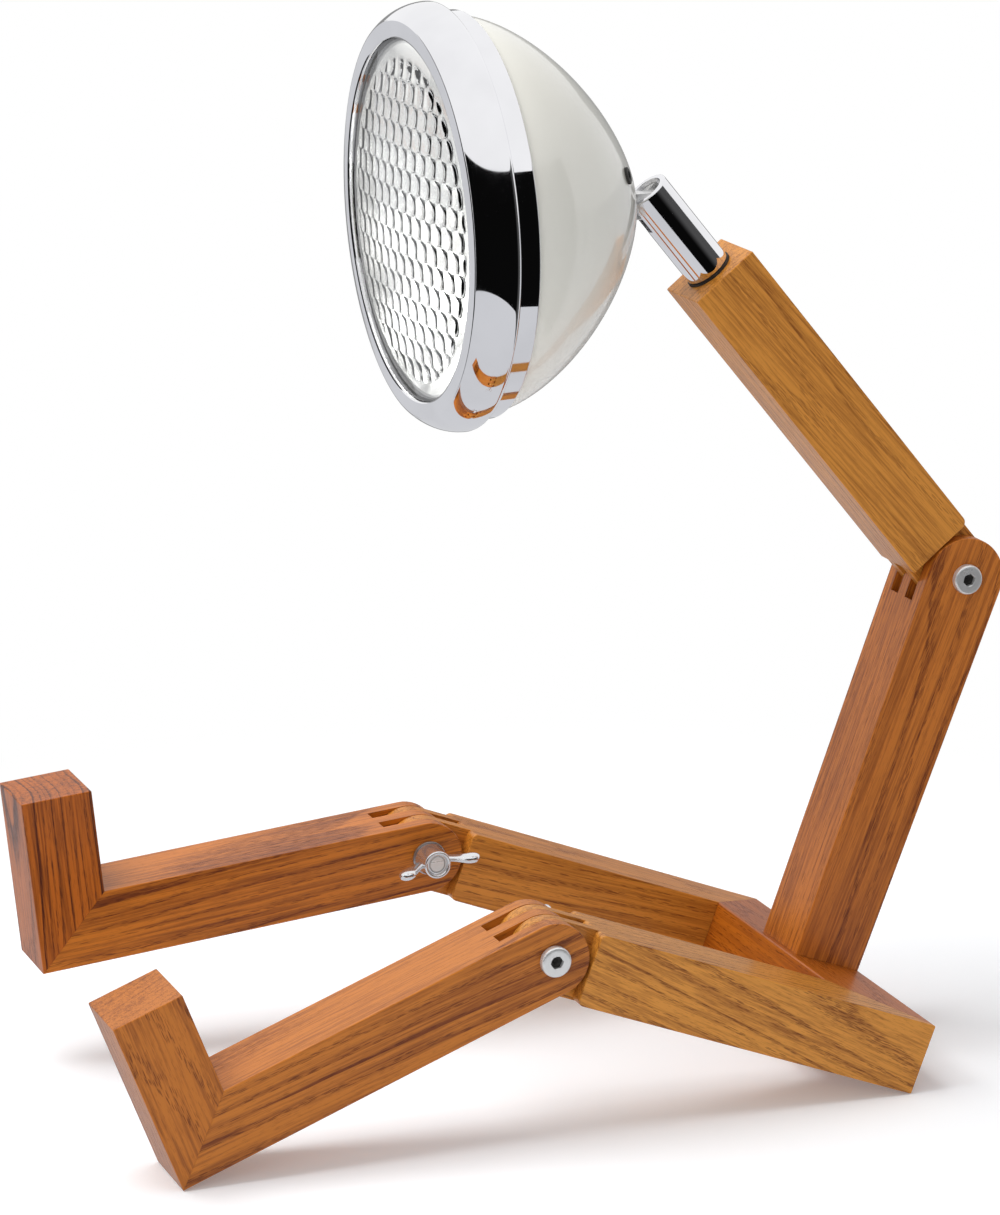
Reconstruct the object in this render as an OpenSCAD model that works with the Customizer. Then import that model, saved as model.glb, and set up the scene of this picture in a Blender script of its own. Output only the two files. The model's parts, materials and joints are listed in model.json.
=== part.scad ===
// Seated wooden figure lamp: comb-jointed timber limbs, a headlamp for a head.
// Millimetres, +Z up. The figure faces -X, and its left side is towards -Y.
// The origin is on the table, under the middle of the whole lamp.

/* [Leg timber] */
// Width of the leg and hip timber, across the figure
leg_w = 30; // [24:1:40]
// Height of the leg and hip timber
leg_h = 25; // [20:0.5:34]
// Width over both legs
frame_w = 155; // [125:1:220]
// Knee axis to the back of the hip block
thigh_l = 143.5; // [110:0.5:200]
// Knee axis to the sole of the foot
shin_l = 142.5; // [90:0.5:200]
// Length of a foot, heel to toe
foot_h = 61.5; // [45:0.5:90]
// Rounding of the long edges of all timber
edge_r = 0.7; // [0.3:0.1:1.5]

/* [Torso timber] */
// Width of the torso, across the figure
torso_w = 29; // [22:0.5:40]
// Depth of the torso where it stands on the hip block
torso_d_low = 25.5; // [20:0.5:32]
// Depth of the torso at the elbow axis
torso_d_high = 28.4; // [22:0.2:36]
// Top of the hip block to the elbow axis
torso_h = 143.5; // [90:0.5:220]
// Set-in of the torso's back face from the back of the hip block
torso_inset = 0.8; // [0:0.1:3]

/* [Arm timber] */
// Width of the arm, across the figure
arm_w = 27.6; // [21:0.2:38]
// Depth of the arm
arm_d = 25.8; // [20:0.2:34]
// Elbow axis to the top face of the arm
arm_l = 144.6; // [90:0.2:220]
// Rounding of the arm's shoulder corner at the back
arm_corner_r = 2.5; // [0.5:0.5:5]

/* [Comb joints] */
// Play on each side of a tongue in its slot
tongue_play = 0.2; // [0.1:0.05:0.5]
// Gap between a knee finger's round end and the shoulder or slot floor
knee_gap = 1; // [0.5:0.1:2]
// Gap between an elbow finger's round end and the shoulder
elbow_gap = 0.5; // [0.3:0.1:2]
// Rounding of a thigh's shoulder corners
shoulder_r = 2; // [0.5:0.5:4]
// Diameter of the joint bolts
bolt_d = 6; // [4:0.5:8]
// Running clearance of a bolt in timber, on the radius
bolt_play = 0.08; // [0.05:0.01:0.1]
// Overhang of a bolt's button head past its shank
bolt_head_over = 2.25; // [1.5:0.25:4]
// Height of a bolt's button head
bolt_head_h = 2.6; // [2:0.1:4]
// Hexagon socket, across flats
socket_af = 4; // [2.5:0.5:5]
// Width of a washer's ring around the bolt
washer_w = 3; // [2:0.25:5]
// Thickness of the washers
washer_t = 1; // [0.6:0.1:2]
// Span over the two wings of a wing nut
wing_span = 30; // [24:1:40]
// Wall of a wing nut's foot around the bolt
nut_wall = 2.5; // [2:0.25:4]

/* [Pose] */
// Slope of the thighs, down to the hip
hip_lean = 21; // [14:0.5:28]
// Slope of the raised right shin, down to the heel
right_shin_drop = 5.6; // [2:0.2:12]
// Bend of the elbow from the line of the torso
arm_bend = 60; // [30:1:85]
// How far the lamp looks down from level
head_drop = 1.6; // [0:0.2:6]

/* [Neck] */
// Outside diameter of the neck tube
neck_d = 16; // [12:0.5:22]
// Wall of the neck tube
neck_wall = 2; // [1.5:0.1:2.5]
// Length of the neck tube
neck_l = 36.3; // [32:0.1:60]
// Thickness of the neck tube's floor
neck_floor = 8; // [5:0.5:12]
// Thickness of the lug that swings in the tube's slot
lug_t = 5; // [3:0.5:6]
// Room between the lug's round end and the tube's back wall
lug_room = 1.5; // [0.5:0.1:2]
// How deep the lug's round end lies below the tube's end
lug_sunk = 1.8; // [0.5:0.1:4]
// Room in the slot below the lug's round end, for the swing down
swing_room = 1.2; // [0.5:0.1:3]
// Diameter of the tilt pin
tilt_pin_d = 3; // [2:0.5:3.5]
// Thickness of the washer under the neck tube
neck_washer_t = 0.8; // [0.5:0.1:2]

/* [Head] */
// Radius of the shell where it enters the rim
shell_r = 66.2; // [54:0.2:82]
// How far the rim's bulge stands out past the shell
rim_proud = 5.3; // [3:0.1:8]
// How far the rim's front crest lies inside the shell's radius
crest_in = 0.8; // [0:0.1:3]
// Width of the rim's lip, from the front crest in to the glass
rim_lip = 5.2; // [3:0.1:9]
// Front crest to the step behind the bulge
rim_step = 15.6; // [12:0.2:20]
// Front crest to the back edge of the rim
rim_depth = 22.8; // [20:0.2:30]
// Sheet thickness of the rim
rim_t = 1.2; // [0.8:0.1:2]
// Back edge of the rim to the tip of the shell's curve
shell_l = 57.8; // [45:0.2:75]
// Exponent of the shell's curve, 2 being an ellipse
shell_power = 1.55; // [1.4:0.05:2.2]
// Sheet thickness of the shell
shell_t = 1.2; // [0.8:0.1:2]
// Radius of the flat seat at the back of the shell
seat_r = 9; // [8:0.5:12]
// Recess of the glass edge behind the crest
lens_recess = 2; // [1:0.1:4]
// Rise of the glass dome
lens_rise = 5; // [2:0.1:8]
// Thickness of the glass
lens_t = 3; // [2:0.1:5]
// Room behind the reflector's tip for the lamp's holder
lamp_room = 20.9; // [18:0.1:30]
// Tilt axis behind the shell's flat seat
hinge_back = 10.7; // [10.4:0.1:14]
// Tilt axis below the shell's own axis
hinge_low = 2.4; // [0:0.1:3]

/* [Hidden] */
$fn = 48;

// Colours
wood = [0.72, 0.42, 0.19];
wood_dark = [0.63, 0.34, 0.15];
chrome = [0.82, 0.83, 0.85];
steel = [0.7, 0.7, 0.72];
brass = [0.78, 0.62, 0.3];
ivory = [0.91, 0.9, 0.85];
glass = [0.85, 0.9, 0.92, 0.45];
black = [0.12, 0.12, 0.13];
ceramic = [0.93, 0.92, 0.88];

// Small fits
eps = 0.01;
glue_gap = 0.05;
seat_gap = 0.1;
layers = 5;

// Leg and knee
leg_r = leg_h / 2;
leg_layer = leg_w / layers;
knee_shoulder = leg_r + knee_gap;
leg_y = (frame_w - leg_w) / 2;
heel_reach = sqrt(shin_l * shin_l + leg_r * leg_r);
heel_angle = atan(leg_r / shin_l);

// The hip's lower back edge and the left heel both stand on the table
knee_z = (thigh_l - edge_r) * sin(hip_lean) + (leg_r - edge_r) * cos(hip_lean) + edge_r;
left_shin_drop = asin(knee_z / heel_reach) - heel_angle;
left_bend = -left_shin_drop - hip_lean;
right_bend = -right_shin_drop - hip_lean;

// Torso, elbow and arm
round_over = 0.1;
elbow_r = torso_d_high / 2 + round_over;
elbow_layer = torso_w / layers;
torso_x = thigh_l - torso_inset - torso_d_low / 2;
elbow_up = leg_r + torso_h;
torso_taper = atan((torso_d_high - torso_d_low) / 2 / torso_h);
arm_shoulder = elbow_r + elbow_gap;
arm_r = arm_d / 2;
torso_floor = arm_r + elbow_gap;

// The lamp is centred over the origin between its toe and its elbow
toe_reach = foot_h - leg_r;
toe_front = max([
    for (drop = [left_shin_drop, right_shin_drop]) shin_l * cos(drop) + toe_reach * sin(drop)
]);
elbow_back = torso_x * cos(hip_lean) + elbow_up * sin(hip_lean) + elbow_r;
knee_x = (toe_front - elbow_back) / 2;

// Joint hardware
bolt_r = bolt_d / 2;
bore_r = bolt_r + bolt_play;
bolt_head_r = bolt_r + bolt_head_over;
bolt_head_edge = 0.9;
thread_play = 0.05;
screw_tip = 0.5;
washer_r = bolt_r + washer_w;
nut_h = 9;
nut_foot_r = bolt_r + nut_wall;
nut_foot_h = 1.2;
nut_top_r = nut_foot_r - 0.6;
nut_lip = 0.5;
wing_t = 2.6;
wing_angle = 3;
dish = 1.2;
dish_r = nut_top_r - 2 * nut_lip;
bolt_tip = 0.3;

// Dowels: the wood left beyond a dowel's end or side is named, and the rest follows
dowel_r = 3;
end_wood = 6.3;
hip_dowel_l = (leg_w - 2 * end_wood) * sqrt(2);
hip_dowel_z = leg_r - dowel_r - 2.5;
heel_dowel_l = (leg_h - 2 * end_wood) * sqrt(2);
heel_dowel_y = leg_w / 2 - dowel_r - 5;
torso_dowel_r = 4;
torso_dowel_down = leg_h - 11;
torso_dowel_up = 22;
torso_dowel_y = torso_w / 2 - torso_dowel_r - 3.5;

// Neck
neck_r = neck_d / 2;
neck_bore_r = neck_r - neck_wall;
neck_bottom = arm_l + neck_washer_t;
neck_top = neck_bottom + neck_l;
lug_r = neck_bore_r - lug_room;
hinge_up = neck_top - lug_sunk - lug_r;
slot_t = lug_t + 2 * tongue_play;
slot_floor = hinge_up - lug_r - swing_room;
fork_r = neck_bore_r - glue_gap;
fork_floor = 4;
fork_sunk = 1.5;
stud_r = 4;
stud_head_r = neck_bore_r - 0.9;
stud_head_h = 4;
insert_r = 6;
insert_l = 24;
stud_down = 30;
stud_socket_af = 5;
pin_sunk = 0.5;

// Head, measured along its own axis from the rim's crest to the back
rim_r = shell_r + rim_proud;
crest_r = shell_r - crest_in;
lens_r = crest_r - rim_lip;
seat_at = rim_depth + shell_l * pow(1 - pow(seat_r / shell_r, shell_power), 1 / shell_power);
seat_in = (seat_at - shell_t - rim_depth) / (shell_l - shell_t);
seat_in_r = (shell_r - shell_t) * pow(1 - pow(seat_in, shell_power), 1 / shell_power);
head_axis_back = seat_at + hinge_back;
head_turn = arm_bend - hip_lean - head_drop;
bulge_r = 10;
bulge_c = rim_r - bulge_r;
bulge_from = acos((crest_r - bulge_c) / bulge_r);
bulge_at = bulge_r * sin(bulge_from);
bulge_to = asin((rim_step - bulge_at) / bulge_r);
groove = 0.8;
band_r = shell_r + seat_gap + 1.6;
glass_lap = 2.3;
glass_r = lens_r + glass_lap;
glass_play = 0.15;
shell_front = rim_step - 3;
gasket_t = 1.5;
glass_back = lens_recess + rim_t + lens_t;
reflector_t = 0.8;
reflector_at = glass_back + gasket_t;
bowl_r = lens_r - 2.5;
bowl_tip = rim_depth + shell_l - lamp_room;
focus = bowl_r * bowl_r / 4 / (bowl_tip - reflector_at);
bowl_neck_r = 15;
bowl_neck_l = 3;
bowl_end = bowl_tip - bowl_neck_r * bowl_neck_r / 4 / focus;
holder_l = 12;
lamp_in = 7;
lamp_out = 12;
lamp_foot_r = 8;
lamp_neck_r = 9.3;
globe_r = 10.2;
plate_t = 2;
plate_r = seat_r - 0.8;
wire_hole_r = 1.6;
wire_hole_up = 5.2;

// Cord outlet: how far round from the top, and how far behind the rim's back edge
outlet_turn = 65;
outlet_back = 45.7;
outlet_hole_r = 3.2;
outlet_lip = 0.8;
outlet_bore_r = 2.2;
outlet_x = shell_r * pow(1 - pow(outlet_back / shell_l, shell_power), 1 / shell_power);
outlet_tilt = atan2(
    pow(outlet_x / shell_r, shell_power - 1) / shell_r,
    pow(outlet_back / shell_l, shell_power - 1) / shell_l
);

// A circular arc in the plane, for outlines of turned parts
function arc(c, r, from, to, n) =
    [for (i = [0:n]) c + r * [cos(from + (to - from) * i / n), sin(from + (to - from) * i / n)]];

// Half outline of the shell as [radius, place], from the rim to a flat of radius r_end
function bell(r, l, r_end, n) =
    let (stop = acos(pow(r_end / r, shell_power / 2)))
    [for (i = [0:n]) let (a = stop * i / n)
        [r * pow(cos(a), 2 / shell_power), rim_depth + l * pow(sin(a), 2 / shell_power)]];

// The reflector's parabola as [radius, place]
function bowl(r_from, r_to, back, n) =
    [for (i = [0:n]) let (r = r_from + (r_to - r_from) * i / n)
        [r, bowl_tip + back - r * r / 4 / focus]];

// Middle of one comb layer, counted from 0 to 4 across the width
function layer_mid(layer, i) = (i - (layers - 1) / 2) * layer;

// ---- Placing ----

// Frame of the thighs: origin on the knee axis, +X along them to the hip
module in_frame() translate([knee_x, 0, knee_z]) rotate([0, hip_lean, 0]) children();

module on_left() translate([0, -leg_y, 0]) children();

module on_right() mirror([0, 1, 0]) on_left() children();

module in_left_shin() in_frame() rotate([0, left_bend, 0]) on_left() children();

module in_right_shin() in_frame() rotate([0, right_bend, 0]) on_right() children();

// Frame of the torso: origin on the hip block's top, +Z along the torso
module in_torso() in_frame() translate([torso_x, 0, leg_r]) children();

// Frame of the arm: origin on the elbow axis, +Z along the arm
module in_arm() in_torso() translate([0, 0, torso_h]) rotate([0, -arm_bend, 0]) children();

// Frame of the head: origin on the tilt axis
module in_hinge() in_arm() translate([0, 0, hinge_up]) rotate([0, head_turn, 0]) children();

// Frame of the turned head parts: +Z runs back along the head's axis from the rim's crest
module in_head() in_hinge() translate([-head_axis_back, 0, hinge_low]) rotate([0, 90, 0]) children();

// ---- Shared forms ----

// Timber section with rounded edges
module eased(a, b) {
    square([a - 2 * edge_r, b], center = true);
    square([a, b - 2 * edge_r], center = true);
    for (x = [-1, 1], y = [-1, 1])
        translate([x * (a / 2 - edge_r), y * (b / 2 - edge_r)]) circle(edge_r, $fn = 24);
}

module timber_x(from, to, w, h)
    translate([from, 0, 0]) rotate([90, 0, 90]) linear_extrude(to - from) eased(w, h);

module timber_z(from, to, d, w)
    translate([0, 0, from]) linear_extrude(to - from) eased(d, w);

// Extrudes a side view, drawn in X and Z, across the figure. A view that trims a bar is
// drawn wider than the bar, so that their sides don't coincide.
module side_view(w) translate([0, w / 2, 0]) rotate([90, 0, 0]) linear_extrude(w) children();

module cross_bore(r, w) rotate([90, 0, 0]) cylinder(h = w + 2, r = r, center = true);

// The two tongues of a comb: round-ended, between the fork's three fingers
module tongues(layer, r, root) {
    for (i = [1, 3])
        translate([0, layer_mid(layer, i), 0]) side_view(layer - 2 * tongue_play) {
            circle(r, $fn = 96);
            translate([0, -r]) square([root, 2 * r]);
        }
}

// The two slots of a comb, open towards +X, from the slot floor on
module comb_slots(layer, floor_at, r) {
    for (i = [1, 3])
        translate([-floor_at, layer_mid(layer, i) - layer / 2, -r - 1])
            cube([floor_at + r + 1, layer, 2 * r + 2]);
}

module dowel(r, l) {
    tip = 1;
    rotate_extrude() polygon([
        [0, -l / 2], [r - tip, -l / 2], [r, -l / 2 + tip],
        [r, l / 2 - tip], [r - tip, l / 2], [0, l / 2]
    ]);
}

module dowel_hole(r, l) cylinder(h = l + 2 * glue_gap, r = r + glue_gap, center = true);

// ---- Frame: thighs, hip block, torso ----

// Places of the two dowels across one hip mitre, for the leg that runs at y = 0
module at_hip_dowels()
    for (z = [-1, 1])
        translate([thigh_l - leg_w / 2, 0, z * hip_dowel_z])
            rotate([0, 0, -45]) rotate([90, 0, 0]) children();

module thigh() {
    difference() {
        intersection() {
            timber_x(-leg_r - 1, thigh_l, leg_w, leg_h);
            union() {
                tongues(leg_layer, leg_r, knee_shoulder + shoulder_r + eps);
                side_view(leg_w + 2) {
                    translate([knee_shoulder + shoulder_r, -leg_r])
                        square([thigh_l - knee_shoulder - shoulder_r, leg_h]);
                    translate([knee_shoulder, -leg_r + shoulder_r])
                        square([2 * shoulder_r, leg_h - 2 * shoulder_r]);
                    for (z = [-1, 1])
                        translate([knee_shoulder + shoulder_r, z * (leg_r - shoulder_r)])
                            circle(shoulder_r, $fn = 32);
                }
            }
        }
        cross_bore(bore_r, leg_w);
        hip_mitre_cut();
        at_hip_dowels() dowel_hole(dowel_r, hip_dowel_l);
    }
}

// What the hip block takes from a thigh: everything behind the mitre
module hip_mitre_cut()
    translate([0, 0, -leg_r - 1]) linear_extrude(leg_h + 2) polygon([
        [thigh_l, -leg_w / 2], [thigh_l - leg_w, leg_w / 2],
        [thigh_l - leg_w, leg_w / 2 + 1], [thigh_l + 1, leg_w / 2 + 1], [thigh_l + 1, -leg_w / 2]
    ]);

module left_thigh() color(wood) in_frame() on_left() thigh();

module right_thigh() color(wood) in_frame() on_right() thigh();

module at_torso_dowels()
    for (y = [-1, 1])
        translate([torso_x, y * torso_dowel_y, leg_r + (torso_dowel_up - torso_dowel_down) / 2])
            children();

module pelvis() color(wood) in_frame() difference() {
    intersection() {
        translate([thigh_l - leg_w / 2, 0, 0]) rotate([90, 0, 0])
            translate([0, 0, -frame_w / 2]) linear_extrude(frame_w) eased(leg_w, leg_h);
        translate([0, 0, -leg_r - 1]) linear_extrude(leg_h + 2) polygon([
            [thigh_l, -frame_w / 2], [thigh_l, frame_w / 2],
            [thigh_l - leg_w, frame_w / 2 - leg_w], [thigh_l - leg_w, -frame_w / 2 + leg_w]
        ]);
    }
    on_left() at_hip_dowels() dowel_hole(dowel_r, hip_dowel_l);
    on_right() at_hip_dowels() dowel_hole(dowel_r, hip_dowel_l);
    at_torso_dowels() dowel_hole(torso_dowel_r, torso_dowel_down + torso_dowel_up);
}

module hip_dowels() color(wood_dark) in_frame() {
    on_left() at_hip_dowels() dowel(dowel_r, hip_dowel_l);
    on_right() at_hip_dowels() dowel(dowel_r, hip_dowel_l);
}

module torso_dowels() color(wood_dark) in_frame()
    at_torso_dowels() dowel(torso_dowel_r, torso_dowel_down + torso_dowel_up);

// Eased bar whose front face is the torso's leaning front face
module torso_bar()
    translate([-torso_d_low / 2, 0, 0]) rotate([0, -torso_taper, 0])
        translate([torso_d_high / 2 + 1, 0, 0])
            timber_z(-2, torso_h + torso_d_high, torso_d_high + 2, torso_w);

// The bar and its mirror image meet in the tapered torso. Its round end is slightly
// deeper than the leaning faces, so that they meet in a clear edge.
module torso() color(wood) {
    in_torso() difference() {
        intersection() {
            torso_bar();
            mirror([1, 0, 0]) torso_bar();
            side_view(torso_w + 2) {
                translate([0, torso_h]) circle(elbow_r, $fn = 96);
                translate([-torso_d_high, 0]) square([2 * torso_d_high, torso_h]);
            }
        }
        translate([0, 0, torso_h]) {
            rotate([0, -90, 0]) comb_slots(elbow_layer, torso_floor, torso_d_high);
            cross_bore(bore_r, torso_w);
        }
        translate([-torso_x, 0, -leg_r])
            at_torso_dowels() dowel_hole(torso_dowel_r, torso_dowel_down + torso_dowel_up);
    }
}

// ---- Legs: shins and feet ----

// Places of the two dowels across the heel mitre
module at_heel_dowels()
    for (y = [-1, 1])
        translate([-shin_l + leg_r, y * heel_dowel_y, 0]) rotate([0, -45, 0]) children();

module shin() difference() {
    intersection() {
        timber_x(-shin_l - 1, leg_r + 1, leg_w, leg_h);
        side_view(leg_w + 2) {
            circle(leg_r, $fn = 96);
            polygon([[0, -leg_r], [0, leg_r], [-shin_l + leg_h, leg_r], [-shin_l, -leg_r]]);
        }
    }
    comb_slots(leg_layer, knee_shoulder, leg_r);
    cross_bore(bore_r, leg_w);
    at_heel_dowels() dowel_hole(dowel_r, heel_dowel_l);
}

module foot() difference() {
    intersection() {
        translate([-shin_l + leg_r, 0, 0]) timber_z(-leg_r - 1, foot_h - leg_r, leg_h, leg_w);
        side_view(leg_w + 2) polygon([
            [-shin_l, -leg_r], [-shin_l + leg_h, leg_r],
            [-shin_l + leg_h, foot_h - leg_r], [-shin_l, foot_h - leg_r]
        ]);
    }
    at_heel_dowels() dowel_hole(dowel_r, heel_dowel_l);
}

module heel_dowels() at_heel_dowels() dowel(dowel_r, heel_dowel_l);

module left_shin() color(wood) in_left_shin() shin();

module left_foot() color(wood) in_left_shin() foot();

module left_heel_dowels() color(wood_dark) in_left_shin() heel_dowels();

module right_shin() color(wood) in_right_shin() shin();

module right_foot() color(wood) in_right_shin() foot();

module right_heel_dowels() color(wood_dark) in_right_shin() heel_dowels();

// ---- Joint hardware, drawn for a comb of width w: head towards -Y, wing nut towards +Y ----

module hex_prism(af, h) cylinder(h = h, r = af / 2 / cos(30), $fn = 6);

module joint_bolt(w) {
    shank = w + washer_t + nut_h - dish + bolt_tip;
    socket_depth = 1.7;
    translate([0, -w / 2, 0]) rotate([90, 0, 0]) difference() {
        rotate_extrude($fn = 64) polygon(concat(
            [[0, -shank], [bolt_r - screw_tip, -shank], [bolt_r, -shank + screw_tip], [bolt_r, 0]],
            [[bolt_head_r, 0]],
            arc([bolt_head_r - bolt_head_edge, bolt_head_h - bolt_head_edge], bolt_head_edge, 0, 90, 6),
            [[0, bolt_head_h]]
        ));
        translate([0, 0, bolt_head_h - socket_depth]) hex_prism(socket_af, socket_depth + 1);
    }
}

module joint_washer(w)
    translate([0, w / 2, 0]) rotate([-90, 0, 0]) difference() {
        cylinder(h = washer_t, r = washer_r);
        translate([0, 0, -1]) cylinder(h = washer_t + 2, r = bolt_r + 2 * bolt_play);
    }

// Outline of a bar between two circles [x, y, radius], with straight sides that touch both
module strap(a, b) {
    reach = norm([b[0] - a[0], b[1] - a[1]]);
    way = atan2(b[1] - a[1], b[0] - a[0]);
    side = acos((a[2] - b[2]) / reach);
    for (c = [a, b])
        translate([c[0], c[1]]) circle(c[2], $fn = 32);
    polygon([for (c = [a, b], s = c == a ? [-1, 1] : [1, -1])
        [c[0] + c[2] * cos(way + s * side), c[1] + c[2] * sin(way + s * side)]]);
}

// Wing outline: rises from the hub and flares out to a round lobe
module wing_outline() {
    lobe_r = 3.6;
    waist_r = 2.5;
    lobe = [wing_span / 2 - lobe_r, nut_h + 1.2, lobe_r];
    waist = [lobe[0] - 4.2, nut_h - waist_r - 0.1, waist_r];
    root = [bolt_r, nut_h - waist_r - 3.1, waist_r + 0.1];
    strap(root, waist);
    strap(waist, lobe);
}

// The hub's outer face is a shallow dish, in which the bolt's end shows
module wing_nut(w) {
    translate([0, w / 2 + washer_t, 0]) rotate([-90, 0, 0]) difference() {
        union() {
            rotate_extrude($fn = 64) polygon(concat(
                [[0, 0], [nut_foot_r, 0], [nut_foot_r, nut_foot_h]],
                arc([nut_top_r - nut_lip, nut_h - nut_lip], nut_lip, 0, 90, 5),
                [[0, nut_h]]
            ));
            for (a = [0, 180])
                rotate([0, 0, a]) rotate([90, 0, 0]) linear_extrude(wing_t, center = true) wing_outline();
        }
        translate([0, 0, -1]) cylinder(h = nut_h + 2, r = bolt_r + thread_play);
        rotate_extrude($fn = 64) polygon([
            [0, nut_h - dish], [(bolt_r + dish_r) / 2, nut_h - dish],
            [dish_r, nut_h], [dish_r, 2 * nut_h], [0, 2 * nut_h]
        ]);
    }
}

module left_knee_bolt() color(chrome) in_left_shin() joint_bolt(leg_w);

module left_knee_washer() color(steel) in_left_shin() joint_washer(leg_w);

module left_wing_nut() color(chrome) in_left_shin() rotate([0, wing_angle, 0]) wing_nut(leg_w);

module right_knee_bolt() color(chrome) in_right_shin() joint_bolt(leg_w);

module right_knee_washer() color(steel) in_right_shin() joint_washer(leg_w);

module right_wing_nut() color(chrome) in_right_shin() rotate([0, -wing_angle, 0]) wing_nut(leg_w);

module at_elbow() in_torso() translate([0, 0, torso_h]) children();

module elbow_bolt() color(chrome) at_elbow() joint_bolt(torso_w);

module elbow_washer() color(steel) at_elbow() joint_washer(torso_w);

module elbow_wing_nut() color(chrome) at_elbow() rotate([0, wing_angle, 0]) wing_nut(torso_w);

// ---- Arm and neck ----

module arm() color(wood) in_arm() difference() {
    intersection() {
        timber_z(-arm_r - 1, arm_l, arm_d, arm_w);
        union() {
            rotate([0, -90, 0]) tongues(elbow_layer, arm_r, arm_shoulder + arm_corner_r + eps);
            side_view(arm_w + 2) {
                translate([-arm_r, arm_shoulder + arm_corner_r])
                    square([arm_d, arm_l - arm_shoulder - arm_corner_r]);
                translate([-arm_r, arm_shoulder]) square([arm_d - arm_corner_r, 2 * arm_corner_r]);
                translate([arm_r - arm_corner_r, arm_shoulder + arm_corner_r])
                    circle(arm_corner_r, $fn = 32);
            }
        }
    }
    cross_bore(bore_r, arm_w);
    translate([0, 0, arm_l - insert_l]) cylinder(h = insert_l + 1, r = insert_r + glue_gap);
    translate([0, 0, arm_l - stud_down - 1]) cylinder(h = stud_down, r = stud_r + 2 * bolt_play);
}

// Threaded brass sleeve glued into the arm's top
module arm_insert() color(brass) in_arm() translate([0, 0, arm_l - insert_l]) difference() {
    cylinder(h = insert_l, r = insert_r);
    translate([0, 0, -1]) cylinder(h = insert_l + 2, r = stud_r + thread_play);
}

// Shouldered stud: its head holds the neck tube's floor down, and its shank is the swivel
module neck_stud() color(steel) in_arm() {
    head_at = neck_bottom + neck_floor + seat_gap;
    socket_depth = 2.6;
    difference() {
        union() {
            translate([0, 0, arm_l - stud_down])
                cylinder(h = stud_down + head_at - arm_l + eps, r = stud_r);
            translate([0, 0, head_at]) cylinder(h = stud_head_h, r = stud_head_r);
        }
        translate([0, 0, head_at + stud_head_h - socket_depth])
            hex_prism(stud_socket_af, socket_depth + 1);
    }
}

module neck_washer() color(black) in_arm() translate([0, 0, arm_l]) difference() {
    cylinder(h = neck_washer_t, r = neck_r + 0.4);
    translate([0, 0, -1]) cylinder(h = neck_washer_t + 2, r = stud_r + 2 * bolt_play);
}

// The tube is slotted through its front wall only, so that the lug can swing down
module neck_tube() color(chrome) in_arm() difference() {
    bevel = 0.5;
    rotate_extrude($fn = 64) polygon([
        [stud_r + bolt_play, neck_bottom], [neck_r - bevel, neck_bottom],
        [neck_r, neck_bottom + bevel], [neck_r, neck_top - bevel],
        [neck_r - bevel, neck_top], [neck_bore_r, neck_top],
        [neck_bore_r, neck_bottom + neck_floor], [stud_r + bolt_play, neck_bottom + neck_floor]
    ]);
    translate([-neck_r - 1, -slot_t / 2, slot_floor])
        cube([neck_r + 1, slot_t, neck_top - slot_floor + 1]);
}

// Plug glued in the tube's end, sawn through from front to back: its two halves hold the pin
module neck_fork() color(chrome) in_arm() difference() {
    translate([0, 0, slot_floor - fork_floor])
        cylinder(h = neck_top - fork_sunk - slot_floor + fork_floor, r = fork_r, $fn = 64);
    translate([-neck_r, -slot_t / 2, slot_floor]) cube([2 * neck_r, slot_t, neck_top - slot_floor]);
    translate([0, 0, hinge_up]) cross_bore(tilt_pin_d / 2 + thread_play, 2 * fork_r);
}

// Pin across the plug, put in before the plug, so that the tube hides and holds its ends
module tilt_pin() color(steel) in_arm() translate([0, 0, hinge_up]) rotate([90, 0, 0])
    cylinder(h = 2 * (fork_r - pin_sunk), r = tilt_pin_d / 2, center = true);

// ---- Head ----

// Round plate inside the shell, with the lug that passes out to the tilt axis
module head_bracket() color(steel) {
    lug_l = hinge_back + shell_t + eps;
    in_head() translate([0, 0, seat_at - shell_t - plate_t]) difference() {
        cylinder(h = plate_t, r = plate_r);
        translate([-wire_hole_up, 0, -1]) cylinder(h = plate_t + 2, r = wire_hole_r);
    }
    in_hinge() difference() {
        side_view(lug_t) {
            circle(lug_r);
            translate([-lug_l, -lug_r]) square([lug_l, 2 * lug_r]);
        }
        cross_bore(tilt_pin_d / 2 + bolt_play, lug_t);
    }
}

module head_shell() color(ivory) {
    n = 28;
    difference() {
        in_head() rotate_extrude($fn = 128) polygon(concat(
            [[shell_r - shell_t, shell_front], [shell_r, shell_front]],
            bell(shell_r, shell_l, seat_r, n),
            [[0, seat_at], [0, seat_at - shell_t]],
            [for (i = [n:-1:0]) bell(shell_r - shell_t, shell_l - shell_t, seat_in_r, n)[i]]
        ));
        in_hinge() translate([-hinge_back - shell_t - 1, -lug_t / 2 - seat_gap, -lug_r - seat_gap])
            cube([shell_t + 2, lug_t + 2 * seat_gap, 2 * (lug_r + seat_gap)]);
        at_outlet() translate([0, 0, -4]) cylinder(h = 8, r = outlet_hole_r);
    }
}

// The cord's outlet, high on the left of the shell's back, square to the curve there
module at_outlet() in_head()
    rotate([0, 0, 180 + outlet_turn]) translate([outlet_x, 0, rim_depth + outlet_back])
        rotate([0, outlet_tilt, 0]) children();

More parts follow.
